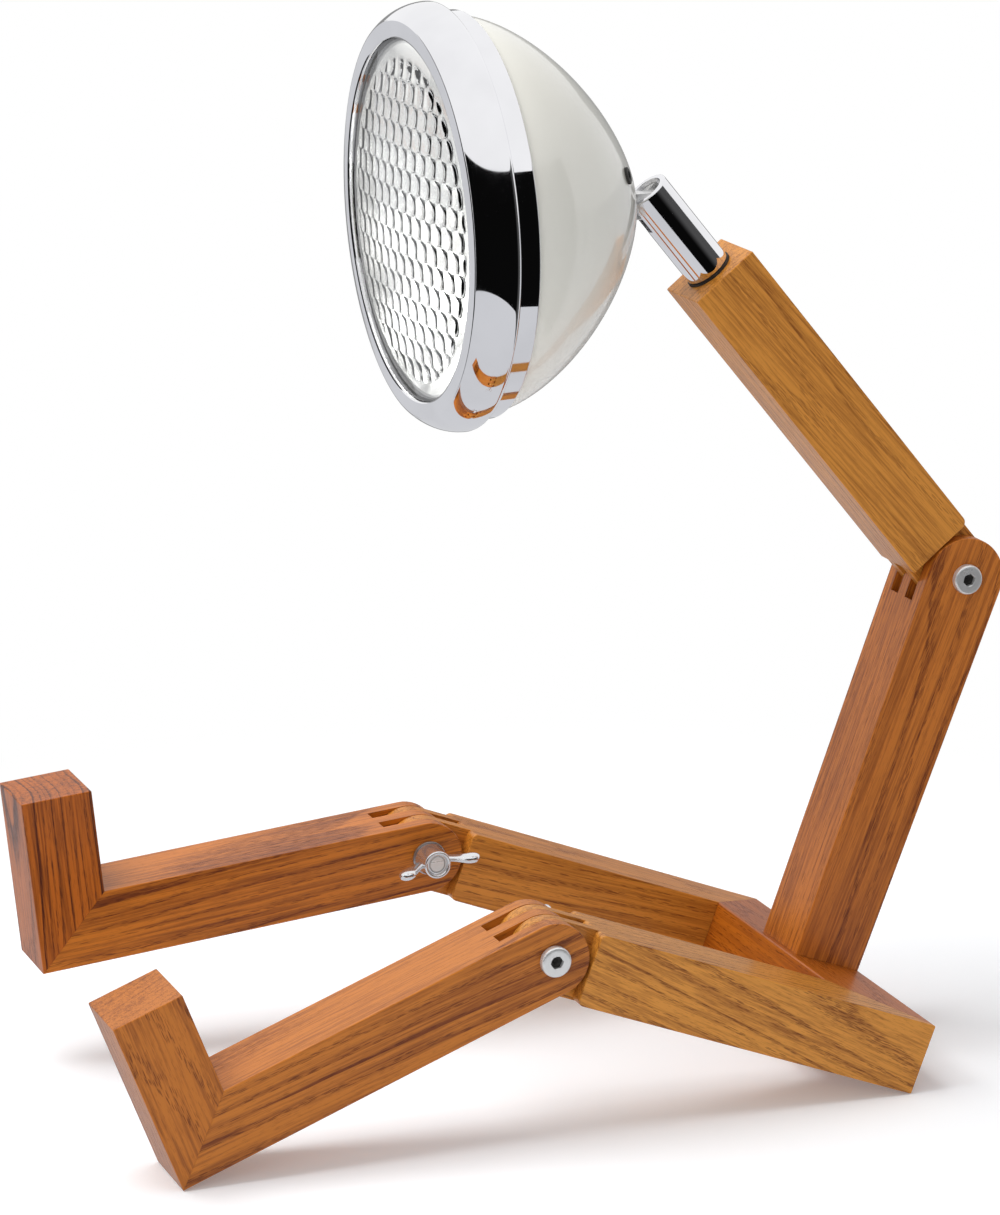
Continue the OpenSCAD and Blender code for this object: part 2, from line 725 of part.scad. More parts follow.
// Rubber bush with a lip on each side of the sheet
module cord_grommet() color(black) at_outlet() difference() {
    lip_t = 1;
    top = 1.2;
    bottom = -shell_t - 1.4;
    union() {
        translate([0, 0, bottom]) cylinder(h = top - bottom, r = outlet_hole_r - seat_gap);
        translate([0, 0, top - lip_t]) cylinder(h = lip_t, r = outlet_hole_r + outlet_lip);
        translate([0, 0, bottom]) cylinder(h = lip_t, r = outlet_hole_r + outlet_lip);
    }
    cylinder(h = 10, r = outlet_bore_r, center = true);
}

module head_rim() color(chrome) {
    n = 20;
    roll = 0.5;
    lip = 0.8;
    in_head() rotate_extrude($fn = 128) polygon(concat(
        [[lens_r, lens_recess + rim_t], [lens_r, lens_recess]],
        [[crest_r - lip, lip / 2]],
        arc([bulge_c, bulge_at], bulge_r, -bulge_from, bulge_to, n),
        [[band_r + 0.5, rim_step + 0.2], [band_r, rim_step + groove]],
        arc([band_r - roll, rim_depth - roll], roll, 0, 90, 4),
        [[shell_r + seat_gap, rim_depth], [shell_r + seat_gap, rim_step]],
        [for (i = [n:-1:0]) arc([bulge_c, bulge_at], bulge_r - rim_t, -bulge_from, bulge_to, n)[i]]
    ));
}

// Domed glass: it fills the rim's opening, and its flange lies behind the rim's lip
module lens() color(glass) {
    n = 10;
    edge = lens_r - glass_play;
    dome_r = (edge * edge + lens_rise * lens_rise) / 2 / lens_rise;
    half = asin(edge / dome_r);
    front = arc([0, lens_recess - lens_rise + dome_r], dome_r, -90, -90 + half, n);
    in_head() rotate_extrude($fn = 96) polygon(concat(
        front,
        [[edge, lens_recess + rim_t], [glass_r, lens_recess + rim_t], [glass_r, glass_back]],
        [for (i = [n:-1:0]) front[i] + [0, rim_t + lens_t]]
    ));
}

module lens_gasket() color(black) in_head() translate([0, 0, glass_back]) difference() {
    cylinder(h = gasket_t, r = glass_r, $fn = 96);
    translate([0, 0, -1]) cylinder(h = gasket_t + 2, r = bowl_r + 1, $fn = 96);
}

module reflector() color(chrome) {
    n = 16;
    in_head() rotate_extrude($fn = 96) polygon(concat(
        [[glass_r, reflector_at + reflector_t], [glass_r, reflector_at]],
        bowl(bowl_r, bowl_neck_r, 0, n),
        [[bowl_neck_r, bowl_end + bowl_neck_l], [bowl_neck_r + reflector_t, bowl_end + bowl_neck_l]],
        [for (i = [n:-1:0]) bowl(bowl_r, bowl_neck_r + reflector_t, reflector_t, n)[i]]
    ));
}

// Three spring clips inside the shell's front edge press the reflector and glass into the rim
module reflector_clips() color(steel) in_head() for (a = [30, 150, 270]) rotate([0, 0, a]) {
    clip_w = 8;
    clip_t = 0.8;
    back = reflector_at + reflector_t;
    out = sqrt(pow(shell_r - shell_t - seat_gap, 2) - clip_w * clip_w / 4);
    translate([glass_r - 4, -clip_w / 2, back]) cube([out - glass_r + 4, clip_w, clip_t]);
    translate([out - clip_t, -clip_w / 2, back]) cube([clip_t, clip_w, shell_front + 6 - back]);
}

// Ceramic lamp holder, whose collar sits on the end of the reflector's neck
module lamp_holder() color(ceramic) in_head() translate([0, 0, bowl_end]) difference() {
    collar_t = 1.5;
    union() {
        cylinder(h = holder_l, r = bowl_neck_r - seat_gap);
        translate([0, 0, bowl_neck_l]) cylinder(h = collar_t, r = bowl_neck_r + 3);
    }
    translate([0, 0, -1]) cylinder(h = lamp_in + 1, r = lamp_foot_r + seat_gap);
}

module lamp_base() color(ivory) in_head() translate([0, 0, bowl_end]) rotate_extrude($fn = 64) polygon([
    [0, -lamp_out], [lamp_neck_r, -lamp_out], [lamp_foot_r, -1], [lamp_foot_r, lamp_in], [0, lamp_in]
]);

// Frosted globe of the lamp, glued on its base
module lamp_globe() color(ceramic) in_head() {
    sink = sqrt(globe_r * globe_r - lamp_neck_r * lamp_neck_r);
    translate([0, 0, bowl_end - lamp_out - sink]) rotate_extrude($fn = 64) polygon(concat(
        [[0, sink]], arc([0, 0], globe_r, asin(sink / globe_r), -90, 12)
    ));
}

pelvis();
left_thigh();
right_thigh();
hip_dowels();
torso();
torso_dowels();
left_shin();
left_foot();
left_heel_dowels();
left_knee_bolt();
left_knee_washer();
left_wing_nut();
right_shin();
right_foot();
right_heel_dowels();
right_knee_bolt();
right_knee_washer();
right_wing_nut();
elbow_bolt();
elbow_washer();
elbow_wing_nut();
arm();
arm_insert();
neck_stud();
neck_washer();
neck_tube();
neck_fork();
tilt_pin();
head_bracket();
head_shell();
cord_grommet();
head_rim();
lens();
lens_gasket();
reflector();
reflector_clips();
lamp_holder();
lamp_base();
lamp_globe();
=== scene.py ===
import json
import math
import bmesh
import bpy
from mathutils import Matrix, Vector


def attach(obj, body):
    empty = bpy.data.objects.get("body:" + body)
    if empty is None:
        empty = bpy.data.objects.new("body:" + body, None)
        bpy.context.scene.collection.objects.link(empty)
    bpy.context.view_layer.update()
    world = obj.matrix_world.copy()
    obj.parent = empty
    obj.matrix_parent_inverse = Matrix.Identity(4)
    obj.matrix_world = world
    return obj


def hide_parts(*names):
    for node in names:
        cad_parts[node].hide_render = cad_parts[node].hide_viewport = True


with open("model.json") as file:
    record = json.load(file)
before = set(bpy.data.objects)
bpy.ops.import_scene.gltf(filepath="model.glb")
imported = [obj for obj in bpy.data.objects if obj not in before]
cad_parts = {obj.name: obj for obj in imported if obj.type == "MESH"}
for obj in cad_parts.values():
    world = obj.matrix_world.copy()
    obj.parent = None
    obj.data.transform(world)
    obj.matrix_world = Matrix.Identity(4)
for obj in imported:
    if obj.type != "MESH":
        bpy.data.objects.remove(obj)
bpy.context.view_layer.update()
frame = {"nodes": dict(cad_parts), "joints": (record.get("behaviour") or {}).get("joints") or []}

# ---- Thighs: two legs' upper bars of oiled ash, 30 x 25 mm stock. ----
# Each is sawn to two tongues with a round end at the knee, bored for the knee bolt, eased
# along its edges, and mitred at 45 degrees to the hip block, where two dowels are glued in.

LEG_W, LEG_H = 0.030, 0.025
LEG_R = LEG_H / 2
LEG_LAYER = LEG_W / 5
LEG_Y = 0.0625
THIGH_L = 0.1435
KNEE_SHOULDER = LEG_R + 0.001
TONGUE_PLAY = 0.0002
SHOULDER_R = 0.002
BORE_R = 0.00308
EASED = 0.00045
GLUE_LINE = 0.00005
HIP_LEAN = 21  # degrees

joint_at = {j["name"]: Vector(j["pos_m"]) for j in frame["joints"]}


def spot(x=0.0, y=0.0, z=0.0):
    return Matrix.Translation((x, y, z))


def turn(degrees, axis):
    return Matrix.Rotation(math.radians(degrees), 4, axis)


def deselect():
    bpy.ops.object.select_all(action="DESELECT")


def block(name, low, high):
    """A squared bar between two corners."""
    deselect()
    middle = [(a + b) / 2 for a, b in zip(low, high)]
    bpy.ops.mesh.primitive_cube_add(size=1, location=middle)
    piece = bpy.context.object
    piece.name = piece.data.name = name
    piece.scale = [b - a for a, b in zip(low, high)]
    bpy.ops.object.transform_apply(location=True, rotation=False, scale=True)
    return piece


def rod(name, radius, length, place, sides=64, tip=None):
    """A round bar, or a cone where its tip's radius is given, along Z from its lower end."""
    deselect()
    bpy.ops.mesh.primitive_cone_add(
        vertices=sides, radius1=radius, radius2=radius if tip is None else tip, depth=length,
        location=(0, 0, length / 2),
    )
    piece = bpy.context.object
    piece.name = piece.data.name = name
    bpy.ops.object.transform_apply(location=True, rotation=True, scale=True)
    piece.data.transform(place)
    return piece


def on(piece):
    deselect()
    piece.select_set(True)
    bpy.context.view_layer.objects.active = piece


def use(piece, kind, **settings):
    """Adds a modifier to the piece and applies it."""
    on(piece)
    step = piece.modifiers.new(kind.title(), kind)
    for key, value in settings.items():
        setattr(step, key, value)
    bpy.ops.object.modifier_apply(modifier=step.name)
    return piece


def cut(piece, *tools):
    for tool in tools:
        use(piece, "BOOLEAN", operation="DIFFERENCE", solver="EXACT", object=tool)
        bpy.data.objects.remove(tool)
    return piece


def glue(piece, other):
    use(piece, "BOOLEAN", operation="UNION", solver="EXACT", object=other)
    bpy.data.objects.remove(other)
    return piece


def round_edges(piece, chosen, radius, steps):
    """Rounds the edges along Y whose two ends both pass the test."""
    on(piece)
    bpy.ops.object.mode_set(mode="EDIT")
    bpy.ops.mesh.select_mode(type="EDGE")
    bpy.ops.mesh.select_all(action="DESELECT")
    mesh = bmesh.from_edit_mesh(piece.data)
    for edge in mesh.edges:
        one, other = (v.co for v in edge.verts)
        edge.select_set(chosen(one) and chosen(other) and abs(one.y - other.y) > 1e-4)
    bmesh.update_edit_mesh(piece.data)
    bpy.ops.mesh.bevel(offset=radius, segments=steps, affect="EDGES")
    bpy.ops.mesh.select_all(action="SELECT")
    bpy.ops.mesh.remove_doubles(threshold=1e-5)
    bpy.ops.object.mode_set(mode="OBJECT")
    return piece


def saw(piece, point, normal):
    """Saws off what lies on the normal's side of a plane, and closes the cut."""
    on(piece)
    bpy.ops.object.mode_set(mode="EDIT")
    bpy.ops.mesh.select_all(action="SELECT")
    bpy.ops.mesh.bisect(plane_co=point, plane_no=normal, use_fill=True, clear_outer=True)
    bpy.ops.object.mode_set(mode="OBJECT")
    return piece


def ease(piece, width=EASED, steps=3, angle=30):
    return use(
        piece, "BEVEL", width=width, segments=steps, limit_method="ANGLE",
        angle_limit=math.radians(angle), use_clamp_overlap=False,
    )


def sand(piece, angle=35):
    """Cleans the joints of the cuts, and shades smoothly where faces stay flat."""
    on(piece)
    bpy.ops.object.mode_set(mode="EDIT")
    bpy.ops.mesh.select_all(action="SELECT")
    bpy.ops.mesh.remove_doubles(threshold=2e-6)
    bpy.ops.mesh.dissolve_degenerate(threshold=2e-6)
    bpy.ops.object.mode_set(mode="OBJECT")
    bpy.ops.object.shade_smooth_by_angle(angle=math.radians(angle))
    return use(piece, "WEIGHTED_NORMAL", keep_sharp=True, weight=100)


def tongues(name, layer, radius, root):
    """The two round-ended tongues of a comb joint, along +X from the joint's axis."""
    half = layer / 2 - TONGUE_PLAY
    high = radius - 0.00002
    pair = [
        block(name, (-high, y - half, -high), (root, y + half, high)) for y in (-layer, layer)
    ]
    for tongue in pair:
        round_edges(tongue, lambda co: co.x < -0.99 * high, 0.9999 * high, 24)
        ease(tongue, 0.0004, 2)
    return pair


def bore_y(radius, width):
    return rod("bore", radius, width + 0.002, spot(0, width / 2 + 0.001, 0) @ turn(90, "X"), 48)


def thigh(name):
    """A thigh on its knee axis, with its outer side towards -Y."""
    bar = block(name, (KNEE_SHOULDER, -LEG_W / 2, -LEG_R), (THIGH_L + 0.01, LEG_W / 2, LEG_R))
    round_edges(bar, lambda co: co.x < KNEE_SHOULDER + 1e-5, SHOULDER_R, 6)
    ease(bar)
    for tongue in tongues("tongue", LEG_LAYER, LEG_R, KNEE_SHOULDER + 3 * SHOULDER_R):
        glue(bar, tongue)
    cut(bar, bore_y(BORE_R, LEG_W))
    return saw(bar, (THIGH_L - GLUE_LINE, -LEG_W / 2, 0), (1, 1, 0))


def paint(red, green, blue):
    """A colour as it is seen on a screen, from 0 to 255, as the light that it sends out."""
    return tuple(
        c / 12.92 if c <= 0.04045 else ((c + 0.055) / 1.055) ** 2.4
        for c in (red / 255, green / 255, blue / 255)
    ) + (1.0,)


class Mixture:
    """A material that is put together node by node."""

    def __init__(self, name):
        self.material = bpy.data.materials.new(name)
        self.material.use_nodes = True
        self.tree = self.material.node_tree
        self.surface = self.tree.nodes["Principled BSDF"]

    def add(self, kind, settings=None, **sockets):
        step = self.tree.nodes.new(kind)
        for key, value in (settings or {}).items():
            setattr(step, key, value)
        for key, value in sockets.items():
            socket = step.inputs[int(key[1:])] if key[0] == "_" else step.inputs[key]
            self.put(value, socket)
        return step

    def put(self, value, socket):
        if isinstance(value, bpy.types.Node):
            value = value.outputs[0]
        if isinstance(value, bpy.types.NodeSocket):
            self.tree.links.new(value, socket)
        else:
            socket.default_value = value

    def maths(self, what, *values):
        return self.add(
            "ShaderNodeMath", {"operation": what}, **{f"_{i}": v for i, v in enumerate(values)}
        )

    def span(self, value, low, high, to_low=0.0, to_high=1.0, smooth=True):
        return self.add(
            "ShaderNodeMapRange", {"interpolation_type": "SMOOTHSTEP" if smooth else "LINEAR"},
            _0=value, _1=low, _2=high, _3=to_low, _4=to_high,
        )

    def blend(self, share, first, second, way="MIX"):
        step = self.tree.nodes.new("ShaderNodeMix")
        step.data_type = "RGBA"
        step.blend_type = way
        self.put(share, step.inputs[0])
        self.put(first, step.inputs[6])
        self.put(second, step.inputs[7])
        return step.outputs[2]

    def noise(self, where, scale, detail=2.0, rough=0.5):
        return self.add(
            "ShaderNodeTexNoise", Vector=where, Scale=scale, Detail=detail, Roughness=rough
        )

    def stretched(self, where, scale, move=(0, 0, 0)):
        return self.add("ShaderNodeMapping", Vector=where, Scale=scale, Location=move)

    def finish(self, **sockets):
        for key, value in sockets.items():
            self.put(value, self.surface.inputs[key.replace("_", " ")])
        return self.material


RING_WAVE, RING_SHAKE = 0.016, 0.0007
# How fine the pores, fibres, streaks and tones are: along the grain, and across it twice
PORE_SIZES, FIBRE_SIZES = (210, 2600, 2600), (50, 1700, 1700)
STREAK_SIZES, TONE_SIZES = (9, 640, 640), (7, 60, 60)


def ash(name, grain, heart, pitch, light, deep, figure, pores=1.0):
    """Oiled ash. grain is the bar's frame with X along the fibres, heart the place of the
    tree's middle beside it, pitch the width of a year's growth. light and deep are its two
    colours, figure and pores say how strongly the rings and the pores show."""
    mix = Mixture(name)
    here = mix.add("ShaderNodeTexCoord").outputs["Object"]
    along = mix.add(
        "ShaderNodeMapping", {"vector_type": "TEXTURE"},
        Vector=here, Location=grain.to_translation(), Rotation=grain.to_euler(),
    )
    # Growth rings round the heart, bent by slow and quick waves
    slow = mix.noise(mix.stretched(along, (5, 16, 16), (heart[0] * 90, 3, 5)), 1.0, 1.5)
    quick = mix.noise(mix.stretched(along, (40, 300, 300)), 1.0, 2.0)
    bend = mix.add(
        "ShaderNodeVectorMath", {"operation": "MULTIPLY_ADD"},
        _0=slow.outputs["Color"], _1=(0, RING_WAVE, RING_WAVE),
        _2=(0, -heart[0] - RING_WAVE / 2, -heart[1] - RING_WAVE / 2),
    )
    shake = mix.add(
        "ShaderNodeVectorMath", {"operation": "MULTIPLY_ADD"},
        _0=quick.outputs["Color"], _1=(0, RING_SHAKE, RING_SHAKE), _2=bend,
    )
    across = mix.add("ShaderNodeVectorMath", {"operation": "MULTIPLY"}, _0=along, _1=(0.03, 1, 1))
    place = mix.add("ShaderNodeVectorMath", {"operation": "ADD"}, _0=across, _1=shake)
    radius = mix.add("ShaderNodeVectorMath", {"operation": "LENGTH"}, _0=place).outputs["Value"]
    years = mix.maths("DIVIDE", radius, pitch)
    uneven = mix.noise(mix.add("ShaderNodeCombineXYZ", X=years), 0.37, 2.0)
    year = mix.maths("FRACT", mix.maths("MULTIPLY_ADD", uneven, 2.6, years))
    early = mix.maths("MULTIPLY", mix.span(year, 0.55, 0.06), mix.span(year, 0.0, 0.05))
    by_year = mix.noise(mix.add("ShaderNodeCombineXYZ", X=years, Y=3.0), 0.8)
    strong = mix.span(by_year, 0.35, 0.7, 0.15, 1.0)
    # Pores: short dark dashes, most of them in the early wood
    cells = mix.add(
        "ShaderNodeTexVoronoi", {"feature": "F1"},
        Vector=mix.stretched(along, PORE_SIZES), Scale=1.0,
    ).outputs["Distance"]
    width = mix.maths("MULTIPLY_ADD", early, 0.20, 0.16)
    pore = mix.span(mix.maths("SUBTRACT", cells, width), 0.14, -0.05)
    fibre = mix.noise(mix.stretched(along, FIBRE_SIZES), 1.0, 2.0, 0.6)
    streak = mix.noise(
        mix.stretched(along, STREAK_SIZES, (0, heart[0] * 500, 0)), 1.0, 3.0, 0.55
    )
    tone = mix.noise(mix.stretched(along, TONE_SIZES, (9, heart[1] * 70, 0)), 1.0, 2.0)
    # Colour
    ring = mix.maths("MULTIPLY", mix.maths("MULTIPLY", early, strong), 0.55 * figure)
    dark = mix.maths("ADD", ring, mix.span(fibre, 0.3, 0.7, -0.24, 0.30))
    dark = mix.maths("ADD", dark, mix.span(streak, 0.3, 0.7, -0.18, 0.34))
    dark = mix.maths("ADD", dark, mix.span(tone, 0.3, 0.7, -0.02, 0.24))
    wood = mix.blend(mix.maths("MAXIMUM", dark, 0.0), paint(*light), paint(*deep))
    shown = mix.maths("MULTIPLY", pore, mix.span(early, 0.0, 0.8, 0.34 * pores, 0.64 * pores))
    colour = mix.blend(shown, wood, paint(deep[0] * 0.66, deep[1] * 0.5, deep[2] * 0.4))
    relief = mix.maths("MULTIPLY_ADD", pore, -0.8, mix.maths("MULTIPLY", fibre, 0.35))
    bump = mix.add("ShaderNodeBump", Strength=0.3, Distance=0.00015, Height=relief)
    return mix.finish(
        Base_Color=colour, Roughness=mix.span(pore, 0.0, 1.0, 0.46, 0.62), Normal=bump,
        Coat_Weight=0.42, Coat_Roughness=0.24, Coat_IOR=1.45, Specular_IOR_Level=0.2,
    )


def install(piece, place, material, body, node):
    """Puts a piece where it is used, on its body and in its node's stead."""
    on(piece)
    piece.matrix_world = place
    bpy.ops.object.transform_apply(location=True, rotation=True, scale=True)
    piece.data.materials.append(material)
    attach(piece, body)
    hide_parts(node)
    return piece


def flip(piece):
    """The mirror image, left for right."""
    on(piece)
    bpy.ops.transform.mirror(constraint_axis=(False, True, False))
    bpy.ops.object.transform_apply(location=True, rotation=True, scale=True)
    bpy.ops.object.mode_set(mode="EDIT")
    bpy.ops.mesh.select_all(action="SELECT")
    bpy.ops.mesh.normals_make_consistent(inside=False)
    bpy.ops.object.mode_set(mode="OBJECT")
    return piece


knee_at = joint_at["left_knee"]
hip_frame = spot(knee_at.x, 0, knee_at.z) @ turn(HIP_LEAN, "Y")
left_thigh_at = hip_frame @ spot(0, -LEG_Y, 0)
right_thigh_at = hip_frame @ spot(0, LEG_Y, 0)
left_thigh = sand(thigh("left_thigh_bar"))
install(
    left_thigh, left_thigh_at,
    ash("left_thigh_ash", left_thigh_at @ turn(8, "Y") @ turn(3, "Z"), (-0.045, 0.030), 0.0040,
        (216, 145, 58), (146, 84, 24), figure=0.9),
    "hip_frame", "left_thigh",
)
right_thigh = sand(flip(thigh("right_thigh_bar")))
install(
    right_thigh, right_thigh_at,
    ash("right_thigh_ash", right_thigh_at @ turn(-2, "Y"), (0.010, 0.070), 0.0030,
        (212, 136, 50), (150, 84, 20), figure=0.6),
    "hip_frame", "right_thigh",
)

# ---- Hip block: the bar of the same stock across the back of both thighs. ----
# Its ends are mitred to the thighs, its lower back edge rests on the table, and two thick
# dowels stand in it for the torso.

FRAME_W = 0.155
hip = block(
    "hip_bar", (THIGH_L - LEG_W, -FRAME_W / 2 - 0.01, -LEG_R), (THIGH_L, FRAME_W / 2 + 0.01, LEG_R)
)
ease(hip, 0.0007)
saw(hip, (THIGH_L + GLUE_LINE, -FRAME_W / 2, 0), (-1, -1, 0))
saw(hip, (THIGH_L + GLUE_LINE, FRAME_W / 2, 0), (-1, 1, 0))
install(
    sand(hip), hip_frame,
    ash("hip_ash", hip_frame @ spot(THIGH_L - LEG_W / 2, 0, 0) @ turn(90, "Z"), (0.010, 0.070),
        0.0030, (186, 100, 22), (132, 60, 6), figure=0.5),
    "hip_frame", "pelvis",
)

# ---- Dowels: turned beech pins with chamfered ends, glued across every fixed joint. ----
# They stay out of sight in the hip mitres, the heel mitres and the torso's foot.

dowel_mix = Mixture("dowel_beech")
dowel_here = dowel_mix.add("ShaderNodeTexCoord").outputs["Object"]
dowel_flecks = dowel_mix.noise(dowel_mix.stretched(dowel_here, (900, 900, 220)), 1.0, 2.0)
dowel_beech = dowel_mix.finish(
    Base_Color=dowel_mix.blend(
        dowel_mix.span(dowel_flecks, 0.4, 0.7), paint(214, 170, 118), paint(176, 126, 78)
    ),
    Roughness=0.7,
)


def finish_node(material, *names):
    """Gives a finish to nodes whose shape is already right."""
    for name in names:
        shape = frame["nodes"][name]
        shape.data.materials.clear()
        shape.data.materials.append(material)


finish_node(dowel_beech, "hip_dowels", "torso_dowels", "left_heel_dowels", "right_heel_dowels")

# ---- Torso: the post of ash that stands on the hip block, a little deeper at its top. ----
# Its top is sawn to three fingers with a round end for the elbow, and its foot is cut square.

TORSO_W = 0.029
TORSO_LOW, TORSO_HIGH = 0.0255, 0.0284
TORSO_H = 0.1435
TORSO_X = THIGH_L - 0.0008 - TORSO_LOW / 2
ELBOW_R = TORSO_HIGH / 2 + 0.0001
ELBOW_LAYER = TORSO_W / 5
ARM_R = 0.0129
TORSO_FLOOR = ARM_R + 0.0005


def slots(layer, floor_at, reach, length):
    """The two slots between a comb's three fingers, open towards +X."""
    return [
        block("slot", (-floor_at, y - layer / 2, -reach), (length, y + layer / 2, reach))
        for y in (-layer, layer)
    ]


torso_at = hip_frame @ spot(TORSO_X, 0, LEG_R)
SPARE = 0.010
torso = block(
    "torso_post", (-TORSO_H - SPARE, -TORSO_W / 2, -ELBOW_R), (ELBOW_R, TORSO_W / 2, ELBOW_R)
)
round_edges(torso, lambda co: co.x > 0.99 * ELBOW_R, 0.9999 * ELBOW_R, 28)
for corner in torso.data.vertices:
    if corner.co.x < -0.9 * TORSO_H:
        corner.co.z *= 1 - (1 - TORSO_LOW / 2 / ELBOW_R) * (TORSO_H + SPARE) / TORSO_H
ease(torso)
cut(torso, *slots(ELBOW_LAYER, TORSO_FLOOR, 0.02, 0.03), bore_y(BORE_R, TORSO_W))
saw(torso, (-TORSO_H + GLUE_LINE, 0, 0), (-1, 0, 0))
post_at = torso_at @ spot(0, 0, TORSO_H) @ turn(-90, "Y")
install(
    sand(torso), post_at,
    ash("torso_ash", post_at @ turn(1.2, "Y"), (-0.075, 0.020), 0.0024,
        (200, 116, 38), (126, 60, 12), figure=0.8),
    "hip_frame", "torso",
)

# ---- Shins: ash bars with a comb of three fingers round the thigh's tongues. ----
# The finger ends are round, the heel end is mitred to the foot.

SHIN_L = 0.1425
LEFT_DROP, RIGHT_DROP = 21.0687, 5.6


def shin(name):
    bar = block(name, (-SHIN_L - 0.01, -LEG_W / 2, -LEG_R), (LEG_R, LEG_W / 2, LEG_R))
    round_edges(bar, lambda co: co.x > 0.99 * LEG_R, 0.9999 * LEG_R, 24)
    ease(bar)
    cut(bar, *slots(LEG_LAYER, KNEE_SHOULDER, 0.02, 0.03), bore_y(BORE_R, LEG_W))
    return sand(saw(bar, (-SHIN_L + GLUE_LINE, 0, -LEG_R), (-1, 0, 1)))


left_shin_at = Matrix.Translation(joint_at["left_knee"]) @ turn(-LEFT_DROP, "Y")
right_shin_at = Matrix.Translation(joint_at["right_knee"]) @ turn(-RIGHT_DROP, "Y")
install(
    shin("left_shin_bar"), left_shin_at,
    ash("left_shin_ash", left_shin_at @ turn(2, "Y"), (0.004, -0.085), 0.0046,
        (198, 118, 38), (122, 58, 14), figure=1.3),
    "left_lower_leg", "left_shin",
)
install(
    shin("right_shin_bar"), right_shin_at,
    ash("right_shin_ash", right_shin_at @ turn(-1.5, "Y"), (-0.004, -0.090), 0.0044,
        (203, 117, 32), (120, 56, 12), figure=1.0),
    "right_lower_leg", "right_shin",
)

# ---- Feet: short upright bars, mitred to the shins and doweled at the heel. ----
# The toe's top is cut square, so that it shows end grain.

FOOT_H = 0.0615


def foot(name):
    """A foot in its shin's frame, drawn along +X and then stood on the heel."""
    bar = block(name, (-LEG_R - 0.01, -LEG_W / 2, -LEG_R), (FOOT_H - LEG_R, LEG_W / 2, LEG_R))
    ease(bar)
    bar.data.transform(spot(-SHIN_L + LEG_R, 0, 0) @ turn(-90, "Y"))
    return sand(saw(bar, (-SHIN_L - GLUE_LINE, 0, -LEG_R), (1, 0, -1)))


left_foot_grain = left_shin_at @ spot(-SHIN_L + LEG_R, 0, 0) @ turn(-90, "Y")
right_foot_grain = right_shin_at @ spot(-SHIN_L + LEG_R, 0, 0) @ turn(-90, "Y")
install(
    foot("left_foot_bar"), left_shin_at,
    ash("left_foot_ash", left_foot_grain @ turn(2, "Z"), (0.085, 0.006), 0.0030,
        (194, 114, 36), (124, 60, 14), figure=0.6),
    "left_lower_leg", "left_foot",
)
install(
    foot("right_foot_bar"), right_shin_at,
    ash("right_foot_ash", right_foot_grain, (0.006, 0.080), 0.0026,
        (186, 98, 22), (92, 38, 5), figure=2.0),
    "right_lower_leg", "right_foot",
)

# ---- Bolts: nickel-plated button-head screws through both knees and the elbow. ----
# The head is turned with a rounded edge, and its hexagon socket is broached over a drilled
# hole. The far end shows flush in the wing nut.

BOLT_R, HEAD_R, HEAD_H = 0.003, 0.00525, 0.0026
SOCKET_FLATS, SOCKET_DEEP, SOCKET_MOUTH_R = 0.004, 0.0015, 0.0023
WASHER_T, NUT_H, DISH = 0.001, 0.009, 0.0012


def arc(middle, radius, start, stop, steps):
    """Points [radius, place] of a rounded corner in a half outline."""
    return [
        (middle[0] + radius * math.cos(math.radians(start + (stop - start) * i / steps)),
         middle[1] + radius * math.sin(math.radians(start + (stop - start) * i / steps)))
        for i in range(steps + 1)
    ]


def turned(name, outline, steps=96):
    """A part turned round Z from its closed half outline."""
    deselect()
    bpy.ops.mesh.primitive_circle_add(vertices=len(outline), radius=0.01)
    piece = bpy.context.object
    piece.name = piece.data.name = name
    for corner, (radius, height) in zip(piece.data.vertices, outline):
        corner.co = (radius, 0, height)
    bpy.ops.object.mode_set(mode="EDIT")
    bpy.ops.mesh.select_all(action="SELECT")
    bpy.ops.mesh.spin(steps=steps, angle=math.tau, center=(0, 0, 0), axis=(0, 0, 1))
    bpy.ops.mesh.select_all(action="SELECT")
    bpy.ops.mesh.remove_doubles(threshold=2e-6)
    bpy.ops.mesh.delete_loose(use_faces=False)
    bpy.ops.mesh.select_all(action="SELECT")
    bpy.ops.mesh.normals_make_consistent(inside=False)
    bpy.ops.object.mode_set(mode="OBJECT")
    return piece


def metal(name, colour, rough, scratches, metallic=1.0):
    """Bare or plated metal with faint hairlines and handling marks in its gloss."""
    mix = Mixture(name)
    here = mix.add("ShaderNodeTexCoord").outputs["Object"]
    hair = mix.noise(mix.stretched(here, (160, 2600, 900)), 1.0, 3.0, 0.6)
    cloud = mix.noise(here, 34.0, 3.0)
    worn = mix.maths("MULTIPLY", hair, mix.span(cloud, 0.35, 0.7))
    handled = [c * 0.965 for c in colour]
    return mix.finish(
        Base_Color=mix.blend(mix.span(cloud, 0.3, 0.75), paint(*colour), paint(*handled)),
        Metallic=metallic,
        Roughness=mix.span(worn, 0.0, 0.6, rough, rough + scratches),
    )


chrome = metal("chrome_plate", (240, 240, 243), 0.03, 0.04)
nickel = metal("satin_nickel", (236, 236, 236), 0.24, 0.1, 0.6)
plated_nut = metal("plated_nut", (236, 236, 238), 0.10, 0.08, 0.9)
# Painted shade: a dark material for the faces inside the bolts' hex sockets, where the recess lies
# in shade.
socket_painted_shade = metal("socket_shadow", (58, 56, 54), 0.5, 0.2, 0.5)
steel = metal("zinc_steel", (196, 197, 201), 0.26, 0.2)
brass = metal("turned_brass", (214, 176, 98), 0.22, 0.15)


